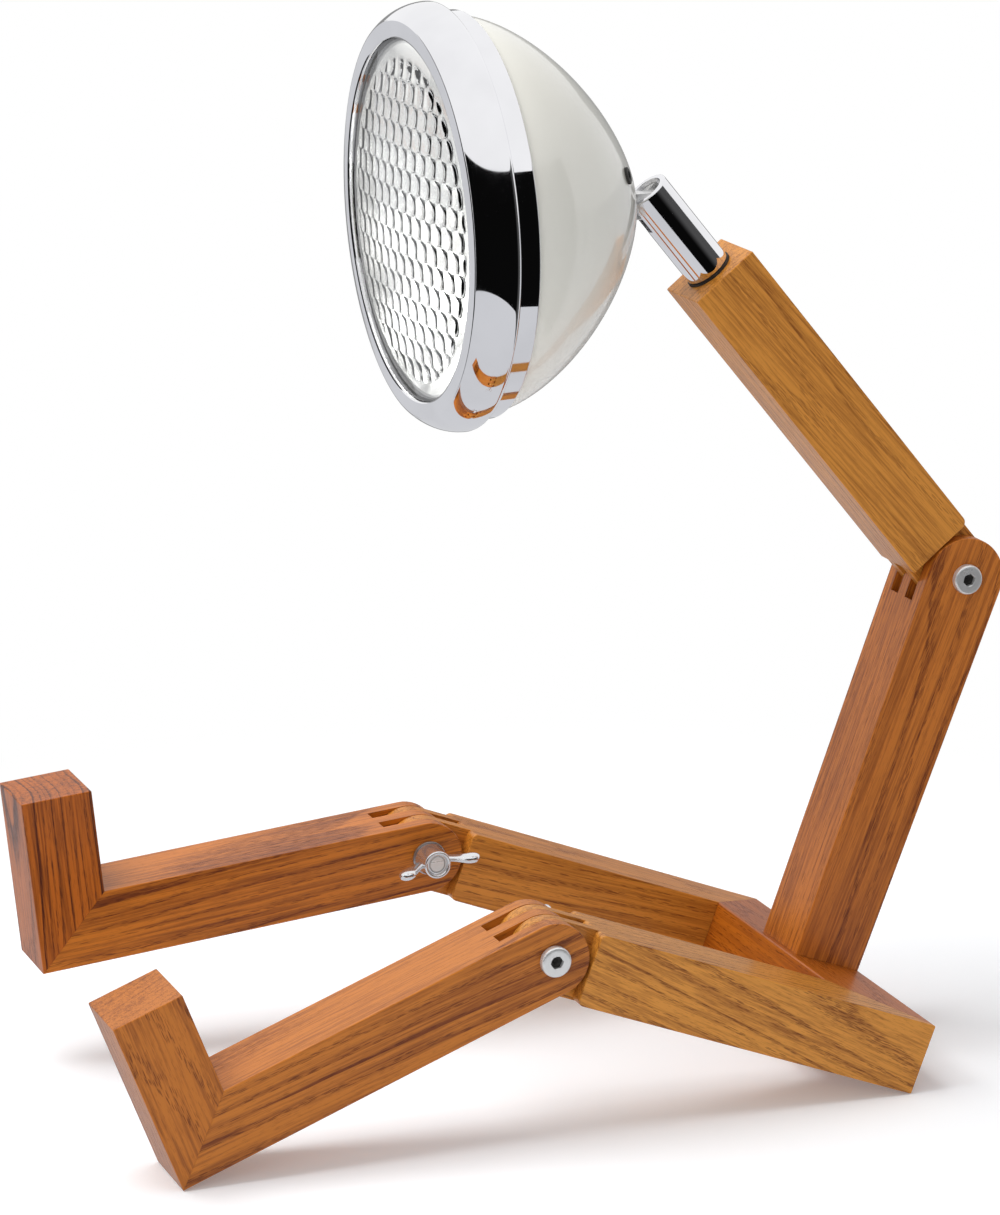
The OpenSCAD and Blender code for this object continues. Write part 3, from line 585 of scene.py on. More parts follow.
def bolt(name, width):
    shank = width + WASHER_T + NUT_H - DISH + 0.0003
    piece = turned(name, [
        (0, -shank), (BOLT_R - 0.0005, -shank), (BOLT_R, -shank + 0.0005), (BOLT_R, 0),
        (HEAD_R - 0.0002, 0), (HEAD_R, 0.0002),
        *arc((HEAD_R - 0.0010, HEAD_H - 0.0010), 0.0010, 0, 78, 8),
        (HEAD_R - 0.0014, HEAD_H), (0, HEAD_H),
    ])
    corners = SOCKET_FLATS / 2 / math.cos(math.radians(30))
    flats = rod("socket", corners, 0.004, spot(0, 0, HEAD_H - SOCKET_DEEP), 6)
    flare = rod("flare", 0.0019, 0.0008, spot(0, 0, HEAD_H - 0.0003), 48, tip=0.0027)
    drill = rod("drill", 0.0004, 0.0012, spot(0, 0, HEAD_H - 0.0023), 48, tip=0.0015)
    cut(piece, flare, flats, drill)
    return sand(piece, 32)


def fit_bolt(piece, place, body, node):
    """Puts a bolt in, with painted shade, a dark material, on the faces inside its socket."""
    for face in piece.data.polygons:
        middle = face.center
        inside = math.hypot(middle.x, middle.y) < SOCKET_MOUTH_R
        if inside and -0.001 < middle.z < HEAD_H - 0.0004:
            face.material_index = 1
    install(piece, place, nickel, body, node)
    piece.data.materials.append(socket_painted_shade)


elbow_at = torso_at @ spot(0, 0, TORSO_H)
fit_bolt(
    bolt("left_knee_screw", LEG_W),
    left_shin_at @ spot(0, -LEG_W / 2, 0) @ turn(90, "X") @ turn(14, "Z"),
    "left_lower_leg", "left_knee_bolt",
)
fit_bolt(
    bolt("right_knee_screw", LEG_W), right_shin_at @ spot(0, LEG_W / 2, 0) @ turn(-90, "X"),
    "right_lower_leg", "right_knee_bolt",
)
fit_bolt(
    bolt("elbow_screw", TORSO_W),
    elbow_at @ spot(0, -TORSO_W / 2, 0) @ turn(90, "X") @ turn(5, "Z"),
    "hip_frame", "elbow_bolt",
)

# ---- Washers: zinc-plated steel rings under the wing nuts. ----
# Stamped flat, with a rounded outer edge.

WASHER_R, WASHER_EDGE, WASHER_PLAY = 0.0060, 0.0003, 0.00016


def washer(name):
    return sand(turned(name, [
        (BOLT_R + WASHER_PLAY, 0), (WASHER_R, 0), (WASHER_R, WASHER_T - WASHER_EDGE),
        *arc((0.0057, WASHER_T - WASHER_EDGE), WASHER_EDGE, 30, 90, 3),
        (BOLT_R + WASHER_PLAY, WASHER_T),
    ]))


install(washer("left_knee_ring"), left_shin_at @ spot(0, LEG_W / 2, 0) @ turn(-90, "X"),
        steel, "left_lower_leg", "left_knee_washer")
install(washer("right_knee_ring"), right_shin_at @ spot(0, -LEG_W / 2, 0) @ turn(90, "X"),
        steel, "right_lower_leg", "right_knee_washer")
install(washer("elbow_ring"), elbow_at @ spot(0, TORSO_W / 2, 0) @ turn(-90, "X"),
        steel, "hip_frame", "elbow_washer")

# ---- Wing nuts: cast and plated, with a dished hub and two swept wings with bulbous ends. ----
# They clamp the fingers of the knees and the elbow, and turn on the bolts.

NUT_FOOT_R, NUT_TOP_R, THREAD_PLAY = 0.0055, 0.0049, 0.00005
# Along a wing: place out, place up, half height, half thickness and slope in degrees
WING = [
    (0.0046, 0.0040, 0.0026, 0.00130, 20), (0.0064, 0.0052, 0.0021, 0.00115, 38),
    (0.0086, 0.0074, 0.0023, 0.00135, 42), (0.0112, 0.0097, 0.0034, 0.00195, 40),
    (0.0133, 0.0114, 0.0030, 0.00190, 40), (0.0144, 0.0123, 0.0013, 0.00095, 40),
]


def wing(side):
    """One wing, drawn out of the hub section by section."""
    piece = block("wing", (0.0015, -0.0014, 0.0008), (0.0030, 0.0014, 0.0062))
    on(piece)
    bpy.ops.object.mode_set(mode="EDIT")
    bpy.ops.mesh.select_mode(type="FACE")
    bpy.ops.mesh.select_all(action="DESELECT")
    mesh = bmesh.from_edit_mesh(piece.data)
    for face in mesh.faces:
        face.select_set(face.normal.x > 0.9)
    for out, up, half, thick, slope in WING:
        bmesh.update_edit_mesh(piece.data)
        bpy.ops.mesh.extrude_region_move()
        mesh = bmesh.from_edit_mesh(piece.data)
        grown = [v for v in mesh.verts if v.select]
        middle = sum(v.co.z for v in grown) / 4
        for corner in grown:
            high = math.copysign(half, corner.co.z - middle)
            corner.co = (
                out - math.sin(math.radians(slope)) * high, math.copysign(thick, corner.co.y),
                up + math.cos(math.radians(slope)) * high,
            )
    bmesh.update_edit_mesh(piece.data)
    bpy.ops.object.mode_set(mode="OBJECT")
    use(piece, "SUBSURF", levels=3, render_levels=3)
    piece.data.transform(turn(side, "Z"))
    return piece


def wing_nut(name):
    dish_r = NUT_TOP_R - 0.0010
    nut = turned(name, [
        (BOLT_R + THREAD_PLAY, 0), (NUT_FOOT_R - 0.0002, 0), (NUT_FOOT_R, 0.0002),
        (NUT_FOOT_R, 0.0010),
        (NUT_FOOT_R - 0.0002, 0.0013), *arc((NUT_TOP_R - 0.0006, NUT_H - 0.0006), 0.0006, 0, 90, 6),
        (dish_r, NUT_H - 0.00015), (dish_r - 0.0002, NUT_H - 0.0005),
        (BOLT_R + 0.0004, NUT_H - DISH), (BOLT_R + THREAD_PLAY, NUT_H - DISH),
    ])
    for side in (0, 180):
        glue(nut, wing(side))
    return sand(nut, 40)


install(
    wing_nut("left_knee_wings"),
    left_shin_at @ turn(3, "Y") @ spot(0, LEG_W / 2 + WASHER_T, 0) @ turn(-90, "X"),
    plated_nut, "left_knee_nut", "left_wing_nut",
)
install(
    wing_nut("right_knee_wings"),
    right_shin_at @ turn(-3, "Y") @ spot(0, -LEG_W / 2 - WASHER_T, 0) @ turn(90, "X"),
    plated_nut, "right_knee_nut", "right_wing_nut",
)
install(
    wing_nut("elbow_wings"),
    elbow_at @ turn(3, "Y") @ spot(0, TORSO_W / 2 + WASHER_T, 0) @ turn(-90, "X"),
    plated_nut, "elbow_nut", "elbow_wing_nut",
)

# ---- Arm: the ash bar with two tongues in the torso's comb, bored at its top for the neck. ----
# Only the back corner of its shoulder is rounded, so that it folds back over the torso.

ARM_W, ARM_L = 0.0276, 0.1446
ARM_SHOULDER = ELBOW_R + 0.0005
ARM_CORNER = 0.0025
ARM_LEAN = 60  # degrees
SLEEVE_R, SLEEVE_DEEP = 0.00605, 0.024
arm_up = elbow_at @ turn(-ARM_LEAN, "Y")
arm = block("arm_bar", (ARM_SHOULDER, -ARM_W / 2, -ARM_R), (ARM_L, ARM_W / 2, ARM_R))
round_edges(arm, lambda co: co.x < ARM_SHOULDER + 1e-5 and co.z < 0, ARM_CORNER, 8)
ease(arm)
for tongue in tongues("tongue", ELBOW_LAYER, ARM_R, ARM_SHOULDER + 2 * ARM_CORNER):
    glue(arm, tongue)
sleeve_bore = rod("bore", SLEEVE_R, 0.03, spot(ARM_L - SLEEVE_DEEP) @ turn(90, "Y"), 48)
cut(arm, bore_y(BORE_R, ARM_W), sleeve_bore)
arm_at = arm_up @ turn(-90, "Y")
install(
    sand(arm), arm_at,
    ash("arm_ash", arm_at @ turn(-2.5, "Y") @ turn(1, "Z"), (-0.0773, 0.012), 0.0030,
        (214, 142, 55), (150, 87, 24), figure=0.6, pores=0.6),
    "forearm", "arm",
)
finish_node(brass, "arm_insert")
finish_node(steel, "neck_stud")

# ---- Neck: a chromed tube that swivels on a stud in the arm's top, on a thin black washer. ----
# Its front wall is slotted so that the lamp's lug can swing down.

NECK_R, NECK_WALL, NECK_L = 0.008, 0.002, 0.0363
NECK_BOTTOM = ARM_L + 0.0008
NECK_TOP = NECK_BOTTOM + NECK_L
STUD_R = 0.00408
SLOT_T, SLOT_FLOOR = 0.0054, NECK_TOP - 0.012
NECK_EDGE = 0.0005
tube = turned("neck_pipe", [
    (STUD_R, NECK_BOTTOM), (NECK_R - NECK_EDGE, NECK_BOTTOM),
    *arc((NECK_R - NECK_EDGE, NECK_BOTTOM + NECK_EDGE), NECK_EDGE, -60, 0, 3),
    *arc((NECK_R - NECK_EDGE, NECK_TOP - NECK_EDGE), NECK_EDGE, 0, 90, 4),
    (NECK_R - NECK_WALL + 0.0001, NECK_TOP), (NECK_R - NECK_WALL, NECK_TOP - 0.0001),
    (NECK_R - NECK_WALL, NECK_BOTTOM + 0.008), (STUD_R, NECK_BOTTOM + 0.008),
], 128)
cut(tube, block("slot", (-0.01, -SLOT_T / 2, SLOT_FLOOR), (0, SLOT_T / 2, NECK_TOP + 0.001)))
install(sand(tube, 30), arm_up, chrome, "neck", "neck_tube")

rubber_mix = Mixture("black_rubber")
rubber_here = rubber_mix.add("ShaderNodeTexCoord").outputs["Object"]
rubber_bloom = rubber_mix.noise(rubber_here, 300.0, 3.0)
rubber = rubber_mix.finish(
    Base_Color=rubber_mix.blend(
        rubber_mix.span(rubber_bloom, 0.3, 0.7), paint(34, 33, 32), paint(52, 50, 48)
    ),
    Roughness=rubber_mix.span(rubber_bloom, 0.3, 0.7, 0.6, 0.8),
)
finish_node(rubber, "neck_washer")

# ---- Plug and pin: the tilt joint inside the tube's open end. ----
# The nickel-plated plug is sawn through from front to back, and the lamp's lug swings between
# its halves on a steel pin, whose ends the tube hides.

LUG_R = 0.0045
HINGE_UP = NECK_TOP - 0.0018 - LUG_R
PLUG_R, PLUG_TOP = 0.00595, NECK_TOP - 0.0015
plug = rod("neck_plug", PLUG_R, PLUG_TOP - SLOT_FLOOR + 0.004, spot(0, 0, SLOT_FLOOR - 0.004), 96)
ease(plug, 0.0003, 2, 60)
cut(
    plug,
    block("slot", (-0.009, -SLOT_T / 2, SLOT_FLOOR), (0.009, SLOT_T / 2, NECK_TOP)),
    rod("bore", 0.00155, 0.014, spot(0, 0.007, HINGE_UP) @ turn(90, "X"), 48),
)
install(sand(plug, 30), arm_up, nickel, "neck", "neck_fork")
PIN_R, PIN_L = 0.0015, 0.0109
pin = turned("tilt_axle", [
    (0, -PIN_L / 2), (PIN_R - 0.0003, -PIN_L / 2), (PIN_R, -PIN_L / 2 + 0.0003),
    (PIN_R, PIN_L / 2 - 0.0003), (PIN_R - 0.0003, PIN_L / 2), (0, PIN_L / 2),
], 48)
install(
    sand(pin), arm_up @ spot(0, 0, HINGE_UP) @ turn(90, "X"), steel, "neck", "tilt_pin"
)

# ---- Lamp's bracket: a plated steel lug on a round plate inside the shell. ----
# The lug passes through the back of the shell and swings between the plug's halves.

HINGE_BACK, HINGE_LOW = 0.0107, 0.0024
LUG_T = 0.005
SHELL_T, SEAT_R = 0.0012, 0.009
HEAD_DROOP = 1.6  # degrees
hinge_at = arm_up @ spot(0, 0, HINGE_UP) @ turn(ARM_LEAN - HIP_LEAN - HEAD_DROOP, "Y")
lug = block("lamp_lug", (-HINGE_BACK - SHELL_T, -LUG_T / 2, -LUG_R), (LUG_R, LUG_T / 2, LUG_R))
round_edges(lug, lambda co: co.x > 0.99 * LUG_R, 0.9999 * LUG_R, 16)
ease(lug, 0.0004, 3)
cut(lug, bore_y(PIN_R + 0.00008, LUG_T))
sand(lug)
SHELL_R, SHELL_L, SHELL_POWER = 0.0662, 0.0578, 1.55
RIM_DEPTH = 0.0228


def bell(radius, length, end, steps):
    """Half outline of the shell's curve, from the rim to a flat of radius end."""
    stop = math.acos((end / radius) ** (SHELL_POWER / 2))
    return [
        (radius * math.cos(stop * i / steps) ** (2 / SHELL_POWER),
         RIM_DEPTH + length * math.sin(stop * i / steps) ** (2 / SHELL_POWER))
        for i in range(steps + 1)
    ]


SEAT_AT = bell(SHELL_R, SHELL_L, SEAT_R, 1)[-1][1]
head_at = hinge_at @ spot(-SEAT_AT - HINGE_BACK, 0, HINGE_LOW) @ turn(90, "Y")
plate = turned("lamp_plate", [(0, 0), (0.0082, 0), (0.0082, 0.002), (0, 0.002)], 64)
cut(plate, rod("wire_hole", 0.0016, 0.004, spot(-0.0052, 0, -0.001), 32))
plate.data.transform(hinge_at.inverted() @ head_at @ spot(0, 0, SEAT_AT - SHELL_T - 0.002))
deselect()
plate.select_set(True)
lug.select_set(True)
bpy.context.view_layer.objects.active = lug
bpy.ops.object.join()
install(lug, hinge_at, nickel, "head", "head_bracket")

# ---- Lamp shell: a spun sheet-metal bowl, stove-enamelled in warm white. ----
# A slot lets the lug through, and a small hole high on its left takes the cord's bush.

seat_in = (SEAT_AT - SHELL_T - RIM_DEPTH) / (SHELL_L - SHELL_T)
seat_in_r = (SHELL_R - SHELL_T) * (1 - seat_in ** SHELL_POWER) ** (1 / SHELL_POWER)
RIM_STEP = 0.0156
SHELL_FRONT = RIM_STEP - 0.003
shell = turned("lamp_bowl", [
    (SHELL_R - SHELL_T, SHELL_FRONT), (SHELL_R, SHELL_FRONT),
    *bell(SHELL_R, SHELL_L, SEAT_R + 0.0004, 72),
    (SEAT_R - 0.0003, SEAT_AT), (0, SEAT_AT), (0, SEAT_AT - SHELL_T),
    *reversed(bell(SHELL_R - SHELL_T, SHELL_L - SHELL_T, seat_in_r, 48)),
], 192)
OUTLET_BACK = 0.0457
OUTLET_ROUND = 180 + 65  # degrees round the shell's axis
outlet_x = SHELL_R * (1 - (OUTLET_BACK / SHELL_L) ** SHELL_POWER) ** (1 / SHELL_POWER)
outlet_tilt = math.degrees(math.atan2(
    (outlet_x / SHELL_R) ** (SHELL_POWER - 1) / SHELL_R,
    (OUTLET_BACK / SHELL_L) ** (SHELL_POWER - 1) / SHELL_L,
))
lug_way = head_at.inverted() @ hinge_at
hole = block("slot", (-HINGE_BACK - 0.003, -0.0026, -0.0046), (-HINGE_BACK + 0.002, 0.0026, 0.0046))
hole.data.transform(lug_way)
outlet_at = (
    turn(OUTLET_ROUND, "Z") @ spot(outlet_x, 0, RIM_DEPTH + OUTLET_BACK)
    @ turn(outlet_tilt, "Y")
)
OUTLET_R, BUSH_R = 0.0020, 0.0029
cut(shell, hole, rod("hole", OUTLET_R, 0.008, outlet_at @ spot(0, 0, -0.004)))
enamel_mix = Mixture("warm_white_enamel")
enamel_here = enamel_mix.add("ShaderNodeTexCoord").outputs["Object"]
peel = enamel_mix.noise(enamel_here, 120.0, 2.0)
drift = enamel_mix.noise(enamel_here, 16.0, 2.0)
enamel = enamel_mix.finish(
    Base_Color=enamel_mix.blend(
        enamel_mix.span(drift, 0.3, 0.7), paint(237, 235, 226), paint(232, 230, 220)
    ),
    Roughness=enamel_mix.span(peel, 0.3, 0.7, 0.28, 0.31),
    Coat_Weight=0.8, Coat_Roughness=0.03,
)
install(sand(shell, 30), head_at, enamel, "head", "head_shell")
BUSH_BORE_R, BUSH_WAIST_R, BUSH_EDGE = 0.0013, OUTLET_R - 0.00002, 0.0004
bush = turned("cord_bush", [
    (BUSH_BORE_R, -0.0021), (0.0026, -0.0021), (0.0028, -0.0017), (0.0026, -0.0013),
    (BUSH_WAIST_R, -0.0012), (BUSH_WAIST_R, 0.0001), (BUSH_R, 0.0001),
    *arc((BUSH_R - BUSH_EDGE, 0.0005), BUSH_EDGE, 0, 90, 4),
    (0.0016, 0.0009), (BUSH_BORE_R, 0.0006),
], 48)
install(sand(bush, 40), head_at @ outlet_at, rubber, "head", "cord_grommet")

# ---- Front rim: spun brass sheet, chromed, that clips over the shell. ----
# A bulge, a step and a narrow band behind it, and in front a lip that holds the glass.

CREST_R, RIM_R, RIM_T = 0.0654, 0.07137, 0.0012
LENS_R, LENS_RECESS = 0.0602, 0.002
BULGE_R, LIP_R, FALL_R = 0.017, 0.0011, 0.0022
BAND_R, RIM_BORE_R = SHELL_R + 0.0017, SHELL_R + 0.0001
bulge_c = (RIM_R - BULGE_R, RIM_STEP - 0.0022)
fall_c = (RIM_R - FALL_R, bulge_c[1])
lip_turn = math.degrees(math.acos((CREST_R + 0.0002 - bulge_c[0]) / (BULGE_R - LIP_R)))
lip_c = (CREST_R + 0.0002, bulge_c[1] - (BULGE_R - LIP_R) * math.sin(math.radians(lip_turn)))
rim = turned("lamp_rim", [
    (LENS_R, LENS_RECESS + RIM_T), (LENS_R, 0.0014), (LENS_R + 0.0001, 0.0011),
    (LENS_R + 0.0005, 0.0009),
    (LENS_R + 0.0010, 0.0008), *arc(lip_c, LIP_R, -90, -lip_turn, 8),
    *arc(bulge_c, BULGE_R, -lip_turn, 0, 48)[1:], *arc(fall_c, FALL_R, 0, 62, 10)[1:],
    (BAND_R + 0.0003, RIM_STEP + 0.0001), (BAND_R, RIM_STEP + 0.0005),
    *arc((BAND_R - 0.0005, RIM_DEPTH - 0.0005), 0.0005, 0, 90, 5),
    (RIM_BORE_R, RIM_DEPTH), (RIM_BORE_R, RIM_STEP), (RIM_BORE_R, RIM_STEP - 0.002),
    *reversed(arc(bulge_c, BULGE_R - RIM_T, -lip_turn + 8, -14, 24)),
], 256)
install(sand(rim, 25), head_at, chrome, "head", "head_rim")

# ---- Glass: a clear pressed disc, domed outside, with rows of round-bellied cells inside. ----
# The rim's lip holds its edge against a rubber ring.

LENS_RISE, LENS_T = 0.005, 0.003
GLASS_EDGE = LENS_R - 0.00015
GLASS_DEEP = RIM_T + LENS_T
CELL_W, CELL_ROW, CELL_BELLY = 0.0080, 0.0071, 0.0008
PATTERN_R = 0.0535
dome_r = (GLASS_EDGE ** 2 + LENS_RISE ** 2) / 2 / LENS_RISE
deselect()
bpy.ops.mesh.primitive_grid_add(x_subdivisions=160, y_subdivisions=160, size=2 * GLASS_EDGE + 0.002)
glass = bpy.context.object
glass.name = glass.data.name = "lamp_glass"
bpy.ops.object.mode_set(mode="EDIT")
bpy.ops.mesh.select_mode(type="VERT")
bpy.ops.mesh.select_all(action="DESELECT")
mesh = bmesh.from_edit_mesh(glass.data)
for point in mesh.verts:
    point.select_set(math.hypot(point.co.x, point.co.y) > GLASS_EDGE - 0.0002)
bmesh.update_edit_mesh(glass.data)
bpy.ops.mesh.delete(type="VERT")
mesh = bmesh.from_edit_mesh(glass.data)
for point in mesh.verts:
    if point.is_boundary:
        point.co *= GLASS_EDGE / math.hypot(point.co.x, point.co.y)
bmesh.update_edit_mesh(glass.data)
bpy.ops.object.mode_set(mode="OBJECT")
use(glass, "SOLIDIFY", thickness=GLASS_DEEP, offset=1.0, use_even_offset=False)


def belly(across, down):
    """How far a cell bulges at a point, with straight valleys half-way to its neighbours."""
    best = 1e9
    row = round(down / CELL_ROW)
    for r in (row - 1, row, row + 1):
        shift = CELL_W / 2 * (r % 2)
        column = round((across - shift) / CELL_W)
        gap = math.hypot((across - shift - column * CELL_W), (down - r * CELL_ROW) * 1.04)
        best = min(best, gap)
    share = min(1.0, best / (CELL_W * 0.56))
    return 1 - share ** 3


for point in glass.data.vertices:
    reach = math.hypot(point.co.x, point.co.y)
    dome = dome_r - math.sqrt(dome_r ** 2 - reach ** 2)
    inside = point.co.z > GLASS_DEEP / 2
    point.co.z += LENS_RECESS - LENS_RISE + dome
    if inside:
        fade = max(0.0, min(1.0, (PATTERN_R - reach) / 0.004))
        point.co.z += CELL_BELLY * fade * belly(point.co.y, point.co.x)
on(glass)
bpy.ops.object.shade_smooth_by_angle(angle=math.radians(50))
glass_mix = Mixture("clear_glass")
glass_here = glass_mix.add("ShaderNodeTexCoord").outputs["Object"]
haze = glass_mix.noise(glass_here, 60.0, 3.0)
clear_glass = glass_mix.finish(
    Base_Color=glass_mix.blend(haze, paint(253, 253, 252), paint(249, 250, 249)),
    Roughness=glass_mix.span(haze, 0.3, 0.7, 0.0, 0.03),
    Transmission_Weight=1.0, IOR=1.5,
)
install(glass, head_at, clear_glass, "head", "lens")
finish_node(rubber, "lens_gasket")

# ---- Reflector: a polished aluminium parabola behind the glass, held by three spring clips. ----
# Its short neck carries the lamp's holder. Its material sends out a little light, in place of
# the daylight that comes in through the real glass.

REFLECTOR_T = 0.0008
BOWL_DAYLIGHT = 0.30
reflector_at = LENS_RECESS + RIM_T + LENS_T + 0.0015
bowl_r = LENS_R - 0.0025
bowl_tip = RIM_DEPTH + SHELL_L - 0.0209
FOCUS = bowl_r ** 2 / 4 / (bowl_tip - reflector_at)
BOWL_NECK_R, BOWL_NECK_L = 0.015, 0.003
bowl_end = bowl_tip - BOWL_NECK_R ** 2 / 4 / FOCUS


def parabola(start, stop, back, steps):
    radii = [start + (stop - start) * i / steps for i in range(steps + 1)]
    return [(r, bowl_tip + back - r * r / 4 / FOCUS) for r in radii]


reflector = turned("reflector_bowl", [
    (LENS_R + 0.0023, reflector_at + REFLECTOR_T), (LENS_R + 0.0023, reflector_at),
    *parabola(bowl_r, BOWL_NECK_R, 0, 56),
    (BOWL_NECK_R, bowl_end + BOWL_NECK_L), (BOWL_NECK_R + REFLECTOR_T, bowl_end + BOWL_NECK_L),
    *reversed(parabola(bowl_r, BOWL_NECK_R + REFLECTOR_T, REFLECTOR_T, 40)),
], 160)
mirror_metal = metal("polished_aluminium", (242, 242, 241), 0.16, 0.08)
bowl_surface = mirror_metal.node_tree.nodes["Principled BSDF"]
bowl_surface.inputs["Emission Color"].default_value = (1, 1, 0.985, 1)
bowl_surface.inputs["Emission Strength"].default_value = BOWL_DAYLIGHT
install(sand(reflector, 30), head_at, mirror_metal, "head", "reflector")
finish_node(steel, "reflector_clips")

# ---- Lamp and its holder: a glazed ceramic holder, a white cap and a frosted globe. ----
# The lamp is off. The three have a little daylight of their own, as the reflector has, so
# that they show pale through the glass.

HOLDER_DAYLIGHT, GLOBE_DAYLIGHT = 0.2, 0.6

def plain(name, colour, shade, rough, **more):
    """A plain material with a little cloudiness and unevenness in its gloss."""
    mix = Mixture(name)
    cloud = mix.noise(mix.add("ShaderNodeTexCoord").outputs["Object"], 90.0, 3.0)
    return mix.finish(
        Base_Color=mix.blend(mix.span(cloud, 0.3, 0.7), paint(*colour), paint(*shade)),
        Roughness=mix.span(cloud, 0.3, 0.7, rough, rough + 0.08), **more,
    )


finish_node(plain("glazed_ceramic", (238, 235, 226), (230, 226, 215), 0.25, Coat_Weight=0.5,
                  Emission_Color=(1, 1, 1, 1), Emission_Strength=HOLDER_DAYLIGHT), "lamp_holder")
finish_node(plain("white_cap", (240, 240, 236), (233, 233, 228), 0.35,
                  Emission_Color=(1, 1, 1, 1), Emission_Strength=HOLDER_DAYLIGHT), "lamp_base")
finish_node(plain("frosted_globe", (246, 244, 236), (240, 237, 228), 0.55,
                  Emission_Color=(1, 1, 1, 1), Emission_Strength=GLOBE_DAYLIGHT), "lamp_globe")

# ---- Floor, light and camera: a white studio, one soft light above and a weak one in front. ----
# The floor is white to the camera and keeps the lamp's shadow. Dark screens stand round the
# lamp, where only the bright metal sees them.

SHADOW_END, PAGE_FROM = 0.22, 0.45

deselect()
bpy.ops.mesh.primitive_plane_add(size=30, location=(0, 0, -0.0003))
floor = bpy.context.object
floor.name = "studio_floor"
floor_mix = Mixture("white_floor")
floor_tree = floor_mix.tree
lit = floor_mix.add("ShaderNodeBsdfDiffuse", Color=paint(244, 246, 249))
glow = floor_mix.add("ShaderNodeEmission", Color=(1, 1, 1, 1), Strength=1.0)
sheen = floor_mix.add("ShaderNodeEmission", Color=(0.96, 0.97, 1, 1), Strength=0.70)
both = floor_mix.add("ShaderNodeAddShader")
floor_mix.put(lit.outputs[0], both.inputs[0])
lift = floor_mix.add("ShaderNodeEmission", Color=(1, 1, 1, 1), Strength=0.16)
floor_mix.put(lift.outputs[0], both.inputs[1])
path = floor_mix.add("ShaderNodeLightPath")
mirrored = floor_mix.maths(
    "MAXIMUM", path.outputs["Is Glossy Ray"], path.outputs["Is Transmission Ray"]
)
floor_here = floor_mix.add("ShaderNodeTexCoord").outputs["Object"]
away = floor_mix.add("ShaderNodeVectorMath", {"operation": "LENGTH"}, _0=floor_here)
near = floor_mix.span(away.outputs["Value"], SHADOW_END, PAGE_FROM)
page = floor_mix.add("ShaderNodeMixShader", Fac=near)
floor_mix.put(both.outputs[0], page.inputs[1])
floor_mix.put(glow.outputs[0], page.inputs[2])
seen = floor_mix.add("ShaderNodeMixShader", Fac=path.outputs["Is Camera Ray"])
floor_mix.put(lit.outputs[0], seen.inputs[1])
floor_mix.put(page.outputs[0], seen.inputs[2])
result = floor_mix.add("ShaderNodeMixShader", Fac=mirrored)
floor_mix.put(seen.outputs[0], result.inputs[1])
floor_mix.put(sheen.outputs[0], result.inputs[2])
floor_tree.links.new(result.outputs[0], floor_tree.nodes["Material Output"].inputs["Surface"])
floor.data.materials.append(floor_mix.material)

HEAD_X = -0.09
FADE_FROM, FADE_TO = 0.70, 0.85


def dark_card(name, from_way, to_way, near, far, top, shades):
    """A dark screen that lies on the floor and stands up behind, which only bright metal sees,
    and not through the glass. It runs from one way to the other, in degrees round the head.
    near, far, top and the shades go from one end of it to the other."""
    deselect()
    bpy.ops.mesh.primitive_grid_add(x_subdivisions=40, y_subdivisions=2, size=2)
    card = bpy.context.object
    card.name = card.data.name = name
    for corner in card.data.vertices:
        share = (corner.co.x + 1) / 2
        way = math.radians(from_way + (to_way - from_way) * share)
        row = round(corner.co.y + 1)
        ends = near if row == 0 else far
        reach = ends[0] + (ends[1] - ends[0]) * share
        high = top[0] + (top[1] - top[0]) * share
        high += top[2] * math.sin(math.pi * share)
        corner.co = (
            HEAD_X + reach * math.cos(way), reach * math.sin(way), high if row == 2 else 0.001
        )
    card.visible_camera = card.visible_diffuse = card.visible_shadow = False
    card.visible_transmission = card.visible_volume_scatter = False
    card_mix = Mixture(name + "_cloth")
    flat = card_mix.add("ShaderNodeTexCoord").outputs["UV"]
    over = card_mix.add("ShaderNodeSeparateXYZ", Vector=flat)
    shade = card_mix.span(over, FADE_FROM, FADE_TO, *shades)
    dull = card_mix.add("ShaderNodeEmission", Color=(1, 1, 1, 1), Strength=shade)
    depth = card_mix.add("ShaderNodeLightPath").outputs["Transmission Depth"]
    through = card_mix.maths("GREATER_THAN", depth, 0.5)
    veil = card_mix.add("ShaderNodeMixShader", Fac=through)
    card_mix.put(dull.outputs[0], veil.inputs[1])
    card_mix.put(card_mix.add("ShaderNodeBsdfTransparent").outputs[0], veil.inputs[2])
    card_out = card_mix.tree.nodes["Material Output"]
    card_mix.tree.links.new(veil.outputs[0], card_out.inputs["Surface"])
    card.data.materials.append(card_mix.material)


dark_card(
    "front_screen", -170, -12, (0.58, 0.34), (1.2, 1.2), (0.84, 0.76, 0.20), (0.003, 0.08)
)
dark_card(
    "left_screen", 118, 176, (0.50, 0.50), (1.6, 1.6), (0.60, 0.60, 0), (0.01, 0.01)
)
dark_card(
    "rear_screen", 42, 100, (0.60, 0.60), (1.6, 1.6), (0.60, 0.48, 0), (0.30, 0.30)
)

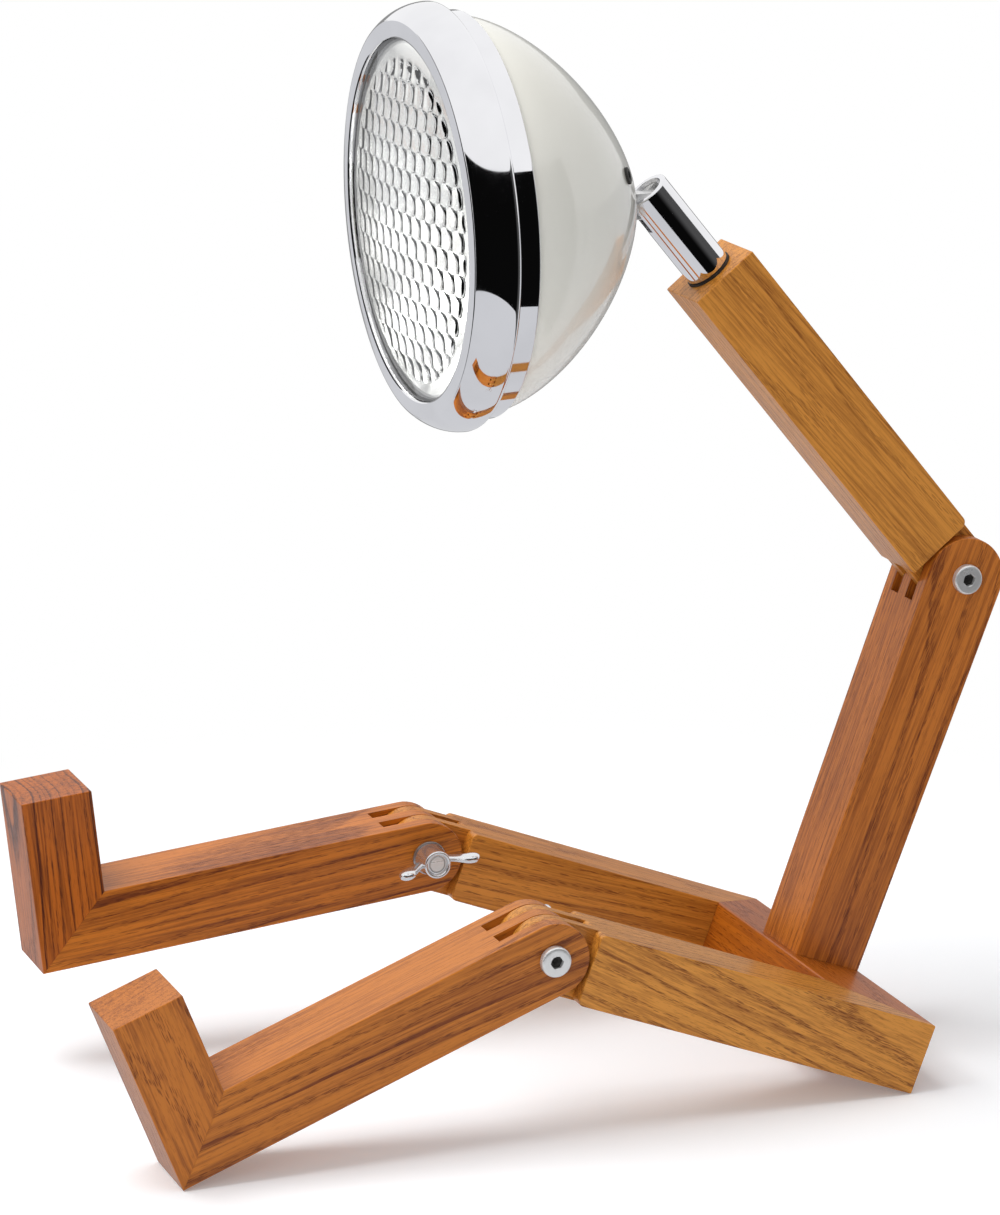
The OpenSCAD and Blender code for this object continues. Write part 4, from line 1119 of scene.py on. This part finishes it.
world = bpy.data.worlds.new("white_studio")
bpy.context.scene.world = world
world.use_nodes = True
air = world.node_tree
sky = air.nodes["Background"]
sky.inputs["Color"].default_value = (1, 1, 1, 1)
rays = air.nodes.new("ShaderNodeLightPath")
bright = air.nodes.new("ShaderNodeMath")
bright.operation = "MAXIMUM"
air.links.new(rays.outputs["Is Camera Ray"], bright.inputs[0])
glossy = air.nodes.new("ShaderNodeMath")
glossy.operation = "MAXIMUM"
air.links.new(rays.outputs["Is Glossy Ray"], glossy.inputs[0])
air.links.new(rays.outputs["Is Transmission Ray"], glossy.inputs[1])
air.links.new(glossy.outputs[0], bright.inputs[1])
level = air.nodes.new("ShaderNodeMapRange")
level.inputs["To Min"].default_value = 0.46
level.inputs["To Max"].default_value = 1.0
air.links.new(bright.outputs[0], level.inputs["Value"])
air.links.new(level.outputs[0], sky.inputs["Strength"])


def softbox(name, place, target, size, power):
    lamp = bpy.data.lights.new(name, "AREA")
    lamp.shape, lamp.size, lamp.size_y = "RECTANGLE", size[0], size[1]
    lamp.energy = power
    holder = bpy.data.objects.new(name, lamp)
    bpy.context.scene.collection.objects.link(holder)
    holder.location = place
    holder.rotation_euler = (Vector(target) - Vector(place)).to_track_quat("-Z", "Y").to_euler()
    holder.visible_glossy = False


softbox("top_light", (-0.9, 0.2, 2.1), (0, 0, 0.1), (1.6, 1.6), 40)
softbox("front_light", (-1.6, -1.8, 1.0), (0, 0, 0.15), (1.4, 1.4), 8)

# The camera's place and turn were fitted to the edges of the timber in the photograph
CAMERA_MM, CAMERA_PLACE = 145.4, (-0.56285, -1.51595, 0.56605)
camera_data = bpy.data.cameras.new("photo_camera")
camera_data.sensor_fit = "VERTICAL"
camera_data.sensor_height = 36
camera_data.lens = CAMERA_MM
camera = bpy.data.objects.new("photo_camera", camera_data)
bpy.context.scene.collection.objects.link(camera)
right = Vector((0.93896, -0.34397, -0.00689))
up = Vector((0.08951, 0.22490, 0.97026))
back = Vector((-0.33219, -0.91165, 0.24196))
camera.matrix_world = Matrix.Translation(CAMERA_PLACE) @ Matrix(
    [(right[i], up[i], back[i]) for i in range(3)]
).to_4x4()
bpy.context.scene.camera = camera

view = bpy.context.scene.view_settings
view.view_transform = "Standard"
